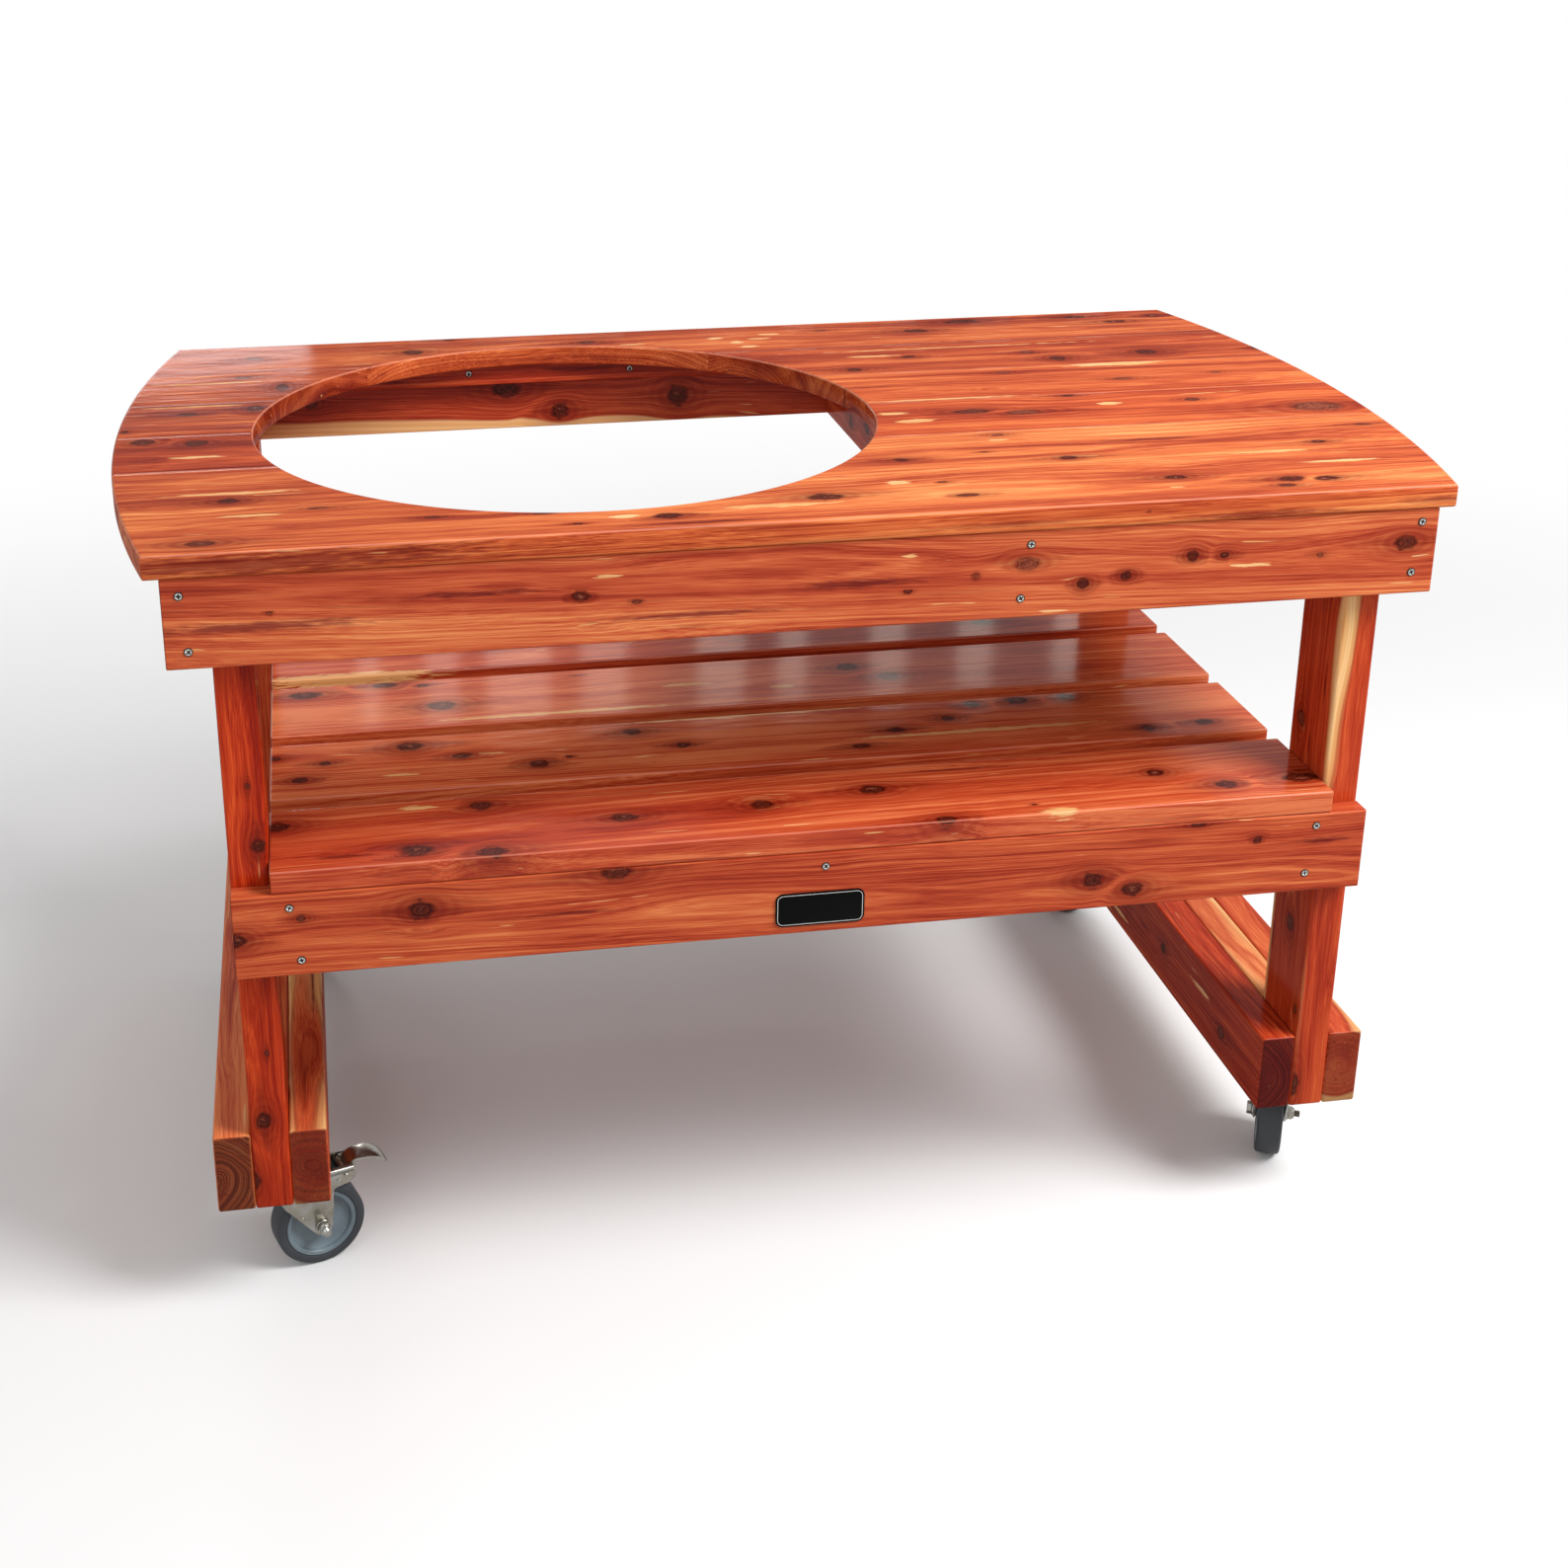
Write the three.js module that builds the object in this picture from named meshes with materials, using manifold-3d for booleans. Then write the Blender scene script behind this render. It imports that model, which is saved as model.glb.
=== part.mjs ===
// Kamado grill table: a plank top with a round cut-out, a frame of aprons, legs and foot
// beams, a slatted shelf, and four total-lock swivel casters.
// Millimetres. +X runs along the table, +Y to its back, +Z up. The origin is on the floor
// under the middle of the top.

import * as THREE from 'three';
import { mergeVertices } from 'three/addons/utils/BufferGeometryUtils.js';
import Module from 'manifold-3d';

const wasm = await Module();
wasm.setup();

// Table sizes
const TABLE_HEIGHT = 845;
const TOP_DEPTH = 805;
const TOP_THICK = 24;
const TOP_ROUNDOVER = 3;
const END_BOW = 49;
const PLANK_COUNT = 6;
const HOLE_RIM = 63;
const HOLE_END_RIM = 96;
const TOP_OVERHANG = 3;
const END_OVERHANG = 14.5;

// Frame sizes
const LEG_SPREAD = 1164.5;
const LUMBER_WIDTH = 88.9;
const BOARD_THICK = 24;
const STUD_THICK = 38.1;
const CLEAT_HEIGHT = 25;
const CLEAT_THICK = 24;
const BRACE_SETBACK = 45;
const LEG_END_GAP = 2.3;
const BOARD_EASE = 1.6;
const STUD_EASE = 2.8;

// Shelf sizes
const SHELF_DROP = 352;
const SHELF_BOARD_COUNT = 5;
const SHELF_THICK = 24;
const SHELF_GAP = 25;
const SHELF_EASE = 2.4;

// Name plate sizes
const NAMEPLATE_LENGTH = 92;
const NAMEPLATE_HEIGHT = 37;
const NAMEPLATE_THICK = 1.5;
const NAMEPLATE_CORNER = 8;
const NAMEPLATE_LIFT = 9;

// Clearances
const SEAT = 0.3;
const GLUE_LINE = 0.15;
const OVERRUN = 5;

// Caster sizes
const WHEEL_DIAMETER = 98;
const TREAD_WIDTH = 28;
const TRAIL = 37;
const WHEEL_HEADROOM = 12.4;
const KINGPIN_INBOARD = 5;
const KINGPIN_BEHIND_LEG_FACE = 68;
// How far each caster trails round from +X, as a share of a full turn
const FRONT_LEFT_TURN_SHARE = 0.05;
const FRONT_RIGHT_TURN_SHARE = 0.182;
const BACK_LEFT_TURN_SHARE = 0.11;
const BACK_RIGHT_TURN_SHARE = 0.39;

// Caster mounting plate sizes
const PLATE_LENGTH = 92;
const PLATE_WIDTH = 62;
const PLATE_THICK = 2.5;
const PLATE_CORNER = 7;
const PLATE_HOLE_RADIUS = 4.2;
const PLATE_HOLE_EDGE = 8.5;
const RACE_RADIUS = 26;
const RACE_FOOT_RADIUS = 22;
const RACE_DEPTH = 5.5;
const KING_BOLT_RADIUS = 6;
const KING_NUT_RADIUS = 10.4;
const KING_NUT_HEIGHT = 7;
const KING_BOLT_END = 2.5;

// Caster fork and brake sizes
const CROWN_THICK = 3;
const CROWN_CLEARANCE = 1.6;
const CROWN_LIP = 2.4;
const CROWN_LIP_HEIGHT = 2.8;
const FORK_THICK = 2.5;
const FORK_BOSS_RADIUS = 11;
// Where the round end of a side sheet starts and stops, as shares of a half turn
const FORK_BOSS_TURN_SHARES = [1.25, 2.05];
const BRIDGE_END_SHARE = 1.1;
// Side sheet outline: shares of the trail along, and of the axle's drop down
const FORK_TOP_SHARES = [-0.41, 2.06];
const FORK_LEADING_SHARES = [[-0.3, 0.3], [-0.09, 0.54]];
const FORK_HOUSING_SHARES = [[1.36, 0.7], [1.4, 0.43], [1.9, 0.37], [2.1, 0.27], [2.13, 0.2]];
const PEDAL_SIDE_CLEARANCE = 3;
const PEDAL_THICK = 3;
const PEDAL_HUB_RADIUS = 5;
const PEDAL_PIN_RADIUS = 2.6;
const PEDAL_PIN_END = 1.4;
const PEDAL_REACH = 114;
const PEDAL_PIVOT_REACH = 66;
const PEDAL_PIVOT_BELOW_CROWN = 9.2;
const PEDAL_CREST_DROP = 2.4;
// Pedal centreline: shares of the lever along, and of the drop from crest to pivot down
const PEDAL_SHARES = [
  [0, 0.9], [0.13, 0.45], [0.32, 0.1], [0.53, 0], [0.73, 0.14], [0.9, 0.5], [1, 1],
];

// Wheel and axle sizes
const TYRE_DEPTH = 10.2;
const TYRE_SHOULDER = 3;
const TYRE_BEVEL = 1;
const RIM_DEPTH = 5.5;
const RIM_EDGE_SETBACK = 0.6;
const WEB_HALF_THICK = 7.5;
const HUB_OVERHANG = 1.5;
const HUB_RADIUS = 10;
const HUB_CLEARANCE = 0.5;
const AXLE_RADIUS = 4;
const AXLE_END = 6.5;
const NUT_RADIUS = 7.5;
const NUT_HEIGHT = 7;
const BOLT_HEAD_HEIGHT = 5.3;
const WASHER_RADIUS = 8.6;
const WASHER_THICK = 1.6;

// Facet counts
const BOW_STEPS = 36;
const HOLE_STEPS = 96;
const EASE_STEPS = 2;
const CORNER_STEPS = 3;
const BOSS_STEPS = 6;
const ROUND_STEPS = 24;
const SMALL_ROUND_STEPS = 12;
const PEDAL_STEPS = 10;
const HEX_SIDES = 6;

// Places worked out from the sizes
const frameDepth = TOP_DEPTH - 2 * TOP_OVERHANG;
const frameFace = frameDepth / 2;
const legFace = frameFace - BOARD_THICK - SEAT;
const legX = (LEG_SPREAD - STUD_THICK) / 2;
const legInnerX = LEG_SPREAD / 2 - STUD_THICK;
const apronLength = LEG_SPREAD + 2 * (STUD_THICK + LEG_END_GAP);
const topLength = apronLength + 2 * END_OVERHANG;
const topUnderside = TABLE_HEIGHT - TOP_THICK;
const frameTop = topUnderside - SEAT;
const holeRadius = TOP_DEPTH / 2 - HOLE_RIM;
const holeX = HOLE_END_RIM + holeRadius - topLength / 2;
const braceX = holeX + holeRadius + BRACE_SETBACK + STUD_THICK / 2;
const railTop = TABLE_HEIGHT - SHELF_DROP;
const innerDepth = 2 * legFace;

const wheelRadius = WHEEL_DIAMETER / 2;
const plateUnder = PLATE_THICK + RACE_DEPTH;
const crownTop = -plateUnder - SEAT;
const crownUnder = crownTop - CROWN_THICK;
const crownRadius = RACE_RADIUS + CROWN_CLEARANCE + CROWN_LIP;
const bridgeEnd = BRIDGE_END_SHARE * TRAIL;
const pedalPivotDrop = PEDAL_PIVOT_BELOW_CROWN - crownTop;
const rimRadius = WHEEL_DIAMETER / 2 - TYRE_DEPTH;
const axleDrop = -crownUnder + WHEEL_HEADROOM + wheelRadius;
const casterHeight = axleDrop + wheelRadius;
const feetBottom = casterHeight + SEAT;
const hubHalf = TREAD_WIDTH / 2 + HUB_OVERHANG;
const forkInner = hubHalf + HUB_CLEARANCE;
const forkOuter = forkInner + FORK_THICK;
const boreRadius = AXLE_RADIUS + SEAT;

// Materials
function timber(color) {
  return new THREE.MeshStandardMaterial({ color, roughness: 0.28, metalness: 0 });
}

function zinc() {
  return new THREE.MeshStandardMaterial({ color: 0xb4b6b2, roughness: 0.32, metalness: 0.9 });
}

const HEARTWOODS = [0xa8432a, 0xb24f2f, 0x9c3a26, 0xb85a35, 0xa34a2e];
const END_STAINED = 0x8a3322;

// Solids
function toSolid(geometry) {
  const bare = geometry.clone();
  bare.deleteAttribute('normal');
  bare.deleteAttribute('uv');
  const merged = mergeVertices(bare);
  return new wasm.Manifold(new wasm.Mesh({
    numProp: 3,
    vertProperties: merged.attributes.position.array,
    triVerts: new Uint32Array(merged.index.array),
  }));
}

function toGeometry(solid) {
  const mesh = solid.getMesh();
  const geometry = new THREE.BufferGeometry();
  geometry.setAttribute('position', new THREE.BufferAttribute(mesh.vertProperties, 3));
  geometry.setIndex(new THREE.BufferAttribute(mesh.triVerts, 1));
  geometry.computeVertexNormals();
  return geometry;
}

function addPiece(parent, name, geometry, material) {
  const mesh = new THREE.Mesh(geometry, material);
  mesh.name = name;
  parent.add(mesh);
  return mesh;
}

// Points of an arc about (x, y), from one angle to the other, both ends included
function arcPoints(x, y, radius, from, to, steps) {
  const points = [];
  for (let i = 0; i <= steps; i += 1) {
    const angle = from + ((to - from) * i) / steps;
    points.push(new THREE.Vector2(x + radius * Math.cos(angle), y + radius * Math.sin(angle)));
  }
  return points;
}

function circlePoints(x, y, radius, steps) {
  return arcPoints(x, y, radius, 0, 2 * Math.PI, steps).slice(0, steps);
}

function roundedRectangle(width, height, radius, steps) {
  const x = width / 2 - radius;
  const y = height / 2 - radius;
  const quarter = Math.PI / 2;
  return [
    ...arcPoints(x, y, radius, 0, quarter, steps),
    ...arcPoints(-x, y, radius, quarter, 2 * quarter, steps),
    ...arcPoints(-x, -y, radius, 2 * quarter, 3 * quarter, steps),
    ...arcPoints(x, -y, radius, 3 * quarter, 4 * quarter, steps),
  ];
}

// A flat piece from z = 0 up to its thickness, with its edges rounded over
function easedPlate(outline, holes, thick, ease) {
  const shape = new THREE.Shape(outline);
  for (const hole of holes) {
    shape.holes.push(new THREE.Path(hole));
  }
  const geometry = new THREE.ExtrudeGeometry(shape, {
    depth: thick - 2 * ease,
    steps: 1,
    bevelEnabled: ease > 0,
    bevelThickness: ease,
    bevelSize: ease,
    bevelOffset: -ease,
    bevelSegments: EASE_STEPS,
  });
  return geometry.translate(0, 0, ease);
}

// A squared piece of timber, centred, with all its edges eased. It is long along axis.
function timberPiece(axis, length, width, height, ease) {
  const section = axis === 'x'
    ? roundedRectangle(height, width, ease, EASE_STEPS)
    : roundedRectangle(width, height, ease, EASE_STEPS);
  const geometry = easedPlate(section, [], length, ease).translate(0, 0, -length / 2);
  if (axis === 'x') {
    geometry.rotateY(Math.PI / 2);
  }
  if (axis === 'y') {
    geometry.rotateX(Math.PI / 2);
  }
  return geometry;
}

const table = new THREE.Group();

function addTimber(name, axis, sizes, place, ease, color) {
  const geometry = timberPiece(axis, sizes[0], sizes[1], sizes[2], ease);
  const mesh = addPiece(table, name, geometry, timber(color));
  mesh.position.set(place[0], place[1], place[2]);
}

// Tabletop: one rounded slab outline with its bowed ends and round hole, sawn into planks
function topOutline() {
  const halfLength = topLength / 2;
  const halfDepth = TOP_DEPTH / 2;
  const bowRadius = (halfDepth * halfDepth + END_BOW * END_BOW) / (2 * END_BOW);
  const bowX = halfLength + END_BOW - bowRadius;
  const half = Math.asin(halfDepth / bowRadius);
  return [
    ...arcPoints(bowX, 0, bowRadius, -half, half, BOW_STEPS),
    ...arcPoints(-bowX, 0, bowRadius, Math.PI - half, Math.PI + half, BOW_STEPS),
  ];
}

function addTop() {
  const hole = circlePoints(holeX, 0, holeRadius, HOLE_STEPS);
  const slab = toSolid(easedPlate(topOutline(), [hole], TOP_THICK, TOP_ROUNDOVER));
  const plankWidth = TOP_DEPTH / PLANK_COUNT;
  const reach = topLength / 2 + END_BOW + OVERRUN;
  const addPlank = (name, row, fromX, toX) => {
    const low = row * plankWidth - TOP_DEPTH / 2 + (row > 0 ? GLUE_LINE / 2 : -OVERRUN);
    const last = row === PLANK_COUNT - 1;
    const high = (row + 1) * plankWidth - TOP_DEPTH / 2 + (last ? OVERRUN : -GLUE_LINE / 2);
    const saw = new THREE.BoxGeometry(toX - fromX, high - low, TOP_THICK + 2 * OVERRUN);
    saw.translate((fromX + toX) / 2, (low + high) / 2, TOP_THICK / 2);
    const plank = slab.intersect(toSolid(saw));
    const color = HEARTWOODS[row % HEARTWOODS.length];
    addPiece(table, name, toGeometry(plank), timber(color)).position.z = topUnderside;
  };
  addPlank('top_plank_front', 0, -reach, reach);
  for (let row = 1; row < PLANK_COUNT - 1; row += 1) {
    addPlank(`top_plank_${row + 1}_left`, row, -reach, holeX);
    addPlank(`top_plank_${row + 1}_right`, row, holeX, reach);
  }
  addPlank('top_plank_back', PLANK_COUNT - 1, -reach, reach);
}

// Aprons, brace and cleats under the top
function addAprons() {
  const apronY = frameFace - BOARD_THICK / 2;
  const apronZ = frameTop - LUMBER_WIDTH / 2;
  const apron = [apronLength, BOARD_THICK, LUMBER_WIDTH];
  addTimber('front_apron', 'x', apron, [0, -apronY, apronZ], BOARD_EASE, HEARTWOODS[1]);
  addTimber('back_apron', 'x', apron, [0, apronY, apronZ], BOARD_EASE, HEARTWOODS[2]);

  const cross = [innerDepth, STUD_THICK, LUMBER_WIDTH];
  const crossZ = frameTop - LUMBER_WIDTH / 2;
  const endX = (apronLength - STUD_THICK) / 2;
  addTimber('left_apron', 'y', cross, [-endX, 0, crossZ], STUD_EASE, HEARTWOODS[0]);
  addTimber('right_apron', 'y', cross, [endX, 0, crossZ], STUD_EASE, HEARTWOODS[3]);
  addTimber('cross_brace', 'y', cross, [braceX, 0, crossZ], STUD_EASE, HEARTWOODS[4]);

  const cleatLeft = -legInnerX + SEAT;
  const cleatRight = braceX - STUD_THICK / 2 - SEAT;
  const cleat = [cleatRight - cleatLeft, CLEAT_THICK, CLEAT_HEIGHT];
  const cleatX = (cleatLeft + cleatRight) / 2;
  const cleatY = legFace - CLEAT_THICK / 2;
  const cleatZ = frameTop - CLEAT_HEIGHT / 2;
  addTimber('front_cleat', 'x', cleat, [cleatX, -cleatY, cleatZ], BOARD_EASE, HEARTWOODS[0]);
  addTimber('back_cleat', 'x', cleat, [cleatX, cleatY, cleatZ], BOARD_EASE, HEARTWOODS[4]);
}

// Legs, and the foot beams that sandwich them
function addLegsAndFeet() {
  const legLength = frameTop - feetBottom;
  const leg = [legLength, STUD_THICK, LUMBER_WIDTH];
  const legY = legFace - LUMBER_WIDTH / 2;
  const legZ = feetBottom + legLength / 2;
  const beam = [innerDepth, STUD_THICK, LUMBER_WIDTH];
  const beamStep = STUD_THICK + SEAT;
  const beamZ = feetBottom + LUMBER_WIDTH / 2;
  for (const [side, sign] of [['left', -1], ['right', 1]]) {
    addTimber(`leg_front_${side}`, 'z', leg, [sign * legX, -legY, legZ], STUD_EASE, HEARTWOODS[0]);
    addTimber(`leg_back_${side}`, 'z', leg, [sign * legX, legY, legZ], STUD_EASE, HEARTWOODS[2]);
    const outer = sign * (legX + beamStep);
    const inner = sign * (legX - beamStep);
    addTimber(`foot_beam_${side}_outer`, 'y', beam, [outer, 0, beamZ], STUD_EASE, HEARTWOODS[3]);
    addTimber(`foot_beam_${side}_inner`, 'y', beam, [inner, 0, beamZ], STUD_EASE, END_STAINED);
  }
}

// Lower rails, the supports between them and the shelf boards on top
function addShelf() {
  const railY = frameFace - BOARD_THICK / 2;
  const railZ = railTop - LUMBER_WIDTH / 2;
  const rail = [LEG_SPREAD, BOARD_THICK, LUMBER_WIDTH];
  addTimber('front_rail', 'x', rail, [0, -railY, railZ], BOARD_EASE, HEARTWOODS[1]);
  addTimber('back_rail', 'x', rail, [0, railY, railZ], BOARD_EASE, HEARTWOODS[4]);

  const support = [innerDepth, STUD_THICK, LUMBER_WIDTH];
  const supportX = legInnerX - SEAT - STUD_THICK / 2;
  const supportZ = railTop - LUMBER_WIDTH / 2;
  for (const [side, x] of [['left', -supportX], ['middle', 0], ['right', supportX]]) {
    addTimber(`shelf_support_${side}`, 'y', support, [x, 0, supportZ], STUD_EASE, HEARTWOODS[2]);
  }

  const boardWidth = (frameDepth - (SHELF_BOARD_COUNT - 1) * SHELF_GAP) / SHELF_BOARD_COUNT;
  const board = [2 * (legInnerX - SEAT), boardWidth, SHELF_THICK];
  for (let i = 0; i < SHELF_BOARD_COUNT; i += 1) {
    const y = boardWidth / 2 - frameFace + i * (boardWidth + SHELF_GAP);
    const place = [0, y, railTop + SEAT + SHELF_THICK / 2];
    const color = HEARTWOODS[(i + 2) % HEARTWOODS.length];
    addTimber(`shelf_board_${i + 1}`, 'x', board, place, SHELF_EASE, color);
  }
}

// Bare black plate on the front rail
function addNameplate() {
  const outline = roundedRectangle(
    NAMEPLATE_LENGTH, NAMEPLATE_HEIGHT, NAMEPLATE_CORNER, CORNER_STEPS,
  );
  const geometry = easedPlate(outline, [], NAMEPLATE_THICK, 0);
  geometry.rotateX(Math.PI / 2);
  const black = new THREE.MeshStandardMaterial({ color: 0x0b0b0c, roughness: 0.3, metalness: 0.1 });
  const plate = addPiece(table, 'nameplate', geometry, black);
  const plateZ = railTop - LUMBER_WIDTH + NAMEPLATE_LIFT + NAMEPLATE_HEIGHT / 2;
  plate.position.set(0, -frameFace - SEAT, plateZ);
}

// A shape turned about y, from [radius, place along y] points
function turned(profile, steps, phase = 0) {
  const points = profile.map(([radius, along]) => new THREE.Vector2(radius, along));
  return new THREE.LatheGeometry(points, steps, phase);
}

// A rod along y from one place to the other
function rod(radius, from, to, steps) {
  const geometry = new THREE.CylinderGeometry(radius, radius, to - from, steps);
  return geometry.translate(0, (from + to) / 2, 0);
}

// Stands a shape that runs along y up along z
function upright(geometry) {
  return geometry.rotateX(Math.PI / 2);
}

// A flat piece drawn in x and z, from y = near back to y = near + thick
function sideSheet(outline, near, thick) {
  return easedPlate(outline, [], thick, 0).rotateX(Math.PI / 2).translate(0, near + thick, 0);
}

function union(geometries) {
  const solids = geometries.map(toSolid);
  return solids.slice(1).reduce((sum, solid) => sum.add(solid), solids[0]);
}

// Mounting plate with the pressed upper race, the king bolt and its nut
function casterPlate() {
  const slotX = PLATE_LENGTH / 2 - PLATE_HOLE_EDGE;
  const slotY = PLATE_WIDTH / 2 - PLATE_HOLE_EDGE;
  const holes = [];
  for (const x of [-slotX, slotX]) {
    for (const y of [-slotY, slotY]) {
      holes.push(circlePoints(x, y, PLATE_HOLE_RADIUS, SMALL_ROUND_STEPS));
    }
  }
  const outline = roundedRectangle(PLATE_LENGTH, PLATE_WIDTH, PLATE_CORNER, CORNER_STEPS);
  const sheet = easedPlate(outline, holes, PLATE_THICK, 0).translate(0, 0, -PLATE_THICK);
  const middle = -PLATE_THICK / 2;
  const race = upright(turned([
    [0, -plateUnder],
    [RACE_FOOT_RADIUS, -plateUnder],
    [RACE_RADIUS, middle],
    [0, middle],
  ], ROUND_STEPS));
  const nutTop = crownUnder - SEAT;
  const nutUnder = nutTop - KING_NUT_HEIGHT;
  const bolt = upright(rod(KING_BOLT_RADIUS, nutUnder - KING_BOLT_END, middle, SMALL_ROUND_STEPS));
  const nut = upright(rod(KING_NUT_RADIUS, nutUnder, nutTop, HEX_SIDES));
  return toGeometry(union([sheet, race, bolt, nut]));
}

// Fork: crown with a raised lip round the race, a bridge over the wheel, and two side
// sheets that hold the axle and run out past the wheel as the brake's housing
function casterFork() {
  const lipTop = crownTop + CROWN_LIP_HEIGHT;
  const crown = upright(turned([
    [0, crownUnder],
    [crownRadius, crownUnder],
    [crownRadius, lipTop],
    [crownRadius - CROWN_LIP, lipTop],
    [crownRadius - CROWN_LIP, crownTop],
    [0, crownTop],
  ], ROUND_STEPS));
  const bridge = new THREE.BoxGeometry(bridgeEnd, 2 * forkOuter, CROWN_THICK);
  bridge.translate(bridgeEnd / 2, 0, (crownTop + crownUnder) / 2);

  const sheetTop = (crownTop + crownUnder) / 2;
  const place = ([reach, drop]) => new THREE.Vector2(reach * TRAIL, -drop * axleDrop);
  const [bossFrom, bossTo] = FORK_BOSS_TURN_SHARES.map((share) => share * Math.PI);
  const boss = arcPoints(TRAIL, -axleDrop, FORK_BOSS_RADIUS, bossFrom, bossTo, BOSS_STEPS);
  const outline = [
    new THREE.Vector2(FORK_TOP_SHARES[0] * TRAIL, sheetTop),
    ...FORK_LEADING_SHARES.map(place),
    ...boss,
    ...FORK_HOUSING_SHARES.map(place),
    new THREE.Vector2(FORK_TOP_SHARES[1] * TRAIL, sheetTop),
  ];
  const sides = [-forkOuter, forkInner].map((near) => sideSheet(outline, near, FORK_THICK));

  const through = forkOuter + OVERRUN;
  const kingBore = upright(rod(
    KING_BOLT_RADIUS + SEAT, crownUnder - OVERRUN, crownTop + OVERRUN, SMALL_ROUND_STEPS,
  ));
  const axleBore = rod(boreRadius, -through, through, SMALL_ROUND_STEPS);
  axleBore.translate(TRAIL, 0, -axleDrop);
  const pinBore = rod(PEDAL_PIN_RADIUS + SEAT, -through, through, SMALL_ROUND_STEPS);
  pinBore.translate(PEDAL_PIVOT_REACH, 0, -pedalPivotDrop);
  return toGeometry(union([crown, bridge, ...sides]).subtract(union([kingBore, axleBore, pinBore])));
}

// Brake pedal, raised: a bent lever of sheet metal on a hub and pin across the housing
function casterPedal() {
  const lever = PEDAL_REACH - PEDAL_PIVOT_REACH;
  const curve = new THREE.SplineCurve(PEDAL_SHARES.map(([along, drop]) => new THREE.Vector2(
    PEDAL_PIVOT_REACH + along * lever,
    -PEDAL_THICK / 2 - PEDAL_CREST_DROP - drop * (pedalPivotDrop - PEDAL_CREST_DROP),
  )));
  const over = [];
  const under = [];
  for (let i = 0; i <= PEDAL_STEPS; i += 1) {
    const point = curve.getPoint(i / PEDAL_STEPS);
    const tangent = curve.getTangent(i / PEDAL_STEPS);
    const normal = new THREE.Vector2(-tangent.y, tangent.x).multiplyScalar(PEDAL_THICK / 2);
    over.push(point.clone().add(normal));
    under.unshift(point.clone().sub(normal));
  }
  const half = forkInner - PEDAL_SIDE_CLEARANCE;
  const blade = sideSheet([...over, ...under], -half, 2 * half);
  const hubHalfLength = forkInner - HUB_CLEARANCE;
  const hub = rod(PEDAL_HUB_RADIUS, -hubHalfLength, hubHalfLength, SMALL_ROUND_STEPS);
  const pinHalf = forkOuter + PEDAL_PIN_END;
  const pin = rod(PEDAL_PIN_RADIUS, -pinHalf, pinHalf, SMALL_ROUND_STEPS);
  for (const part of [hub, pin]) {
    part.translate(PEDAL_PIVOT_REACH, 0, -pedalPivotDrop);
  }
  return toGeometry(union([blade, hub, pin]));
}

// A mirrored profile, closed on itself, from the points of one half
function mirroredProfile(half) {
  const other = half.map(([radius, along]) => [radius, -along]).reverse();
  return [...other, ...half, other[0]];
}

function wheelCore() {
  const edge = TREAD_WIDTH / 2 - RIM_EDGE_SETBACK;
  const rimInner = rimRadius - RIM_DEPTH;
  return turned(mirroredProfile([
    [rimRadius, edge],
    [rimInner, edge],
    [rimInner, WEB_HALF_THICK],
    [HUB_RADIUS, WEB_HALF_THICK],
    [HUB_RADIUS, hubHalf],
    [boreRadius, hubHalf],
  ]), ROUND_STEPS, Math.PI / ROUND_STEPS);
}

// The tread's flats, not their corners, lie at the wheel's radius
function wheelTyre() {
  const edge = TREAD_WIDTH / 2;
  const treadRadius = wheelRadius / Math.cos(Math.PI / ROUND_STEPS);
  return turned(mirroredProfile([
    [treadRadius, edge - TYRE_SHOULDER],
    [treadRadius - TYRE_BEVEL, edge - TYRE_BEVEL],
    [treadRadius - TYRE_SHOULDER, edge],
    [rimRadius + SEAT, edge],
  ]), ROUND_STEPS, Math.PI / ROUND_STEPS);
}

// Axle bolt with its head, washers and nut
function wheelAxle() {
  const seat = forkOuter + SEAT;
  const outer = seat + WASHER_THICK;
  const parts = [
    rod(AXLE_RADIUS, -outer - NUT_HEIGHT - AXLE_END, outer, SMALL_ROUND_STEPS),
    rod(WASHER_RADIUS, -outer, -seat, SMALL_ROUND_STEPS),
    rod(WASHER_RADIUS, seat, outer, SMALL_ROUND_STEPS),
    rod(NUT_RADIUS, -outer - NUT_HEIGHT, -outer, HEX_SIDES),
    rod(NUT_RADIUS, outer, outer + BOLT_HEAD_HEIGHT, HEX_SIDES),
  ];
  return toGeometry(union(parts));
}

function addCaster(corner, x, y, turnShare) {
  const caster = new THREE.Group();
  caster.position.set(x, y, casterHeight);
  table.add(caster);
  addPiece(caster, `caster_${corner}_plate`, casterPlate(), zinc());

  const swivel = new THREE.Group();
  swivel.rotation.z = 2 * Math.PI * turnShare;
  caster.add(swivel);
  addPiece(swivel, `caster_${corner}_fork`, casterFork(), zinc());
  addPiece(swivel, `caster_${corner}_pedal`, casterPedal(), zinc());

  const wheel = new THREE.Group();
  wheel.position.set(TRAIL, 0, -axleDrop);
  swivel.add(wheel);
  const plastic = new THREE.MeshStandardMaterial({ color: 0x6f7a80, roughness: 0.42 });
  const rubber = new THREE.MeshStandardMaterial({ color: 0x2b2e33, roughness: 0.68 });
  addPiece(wheel, `caster_${corner}_wheel`, wheelCore(), plastic);
  addPiece(wheel, `caster_${corner}_tyre`, wheelTyre(), rubber);
  addPiece(wheel, `caster_${corner}_axle`, wheelAxle(), zinc());
}

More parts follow.
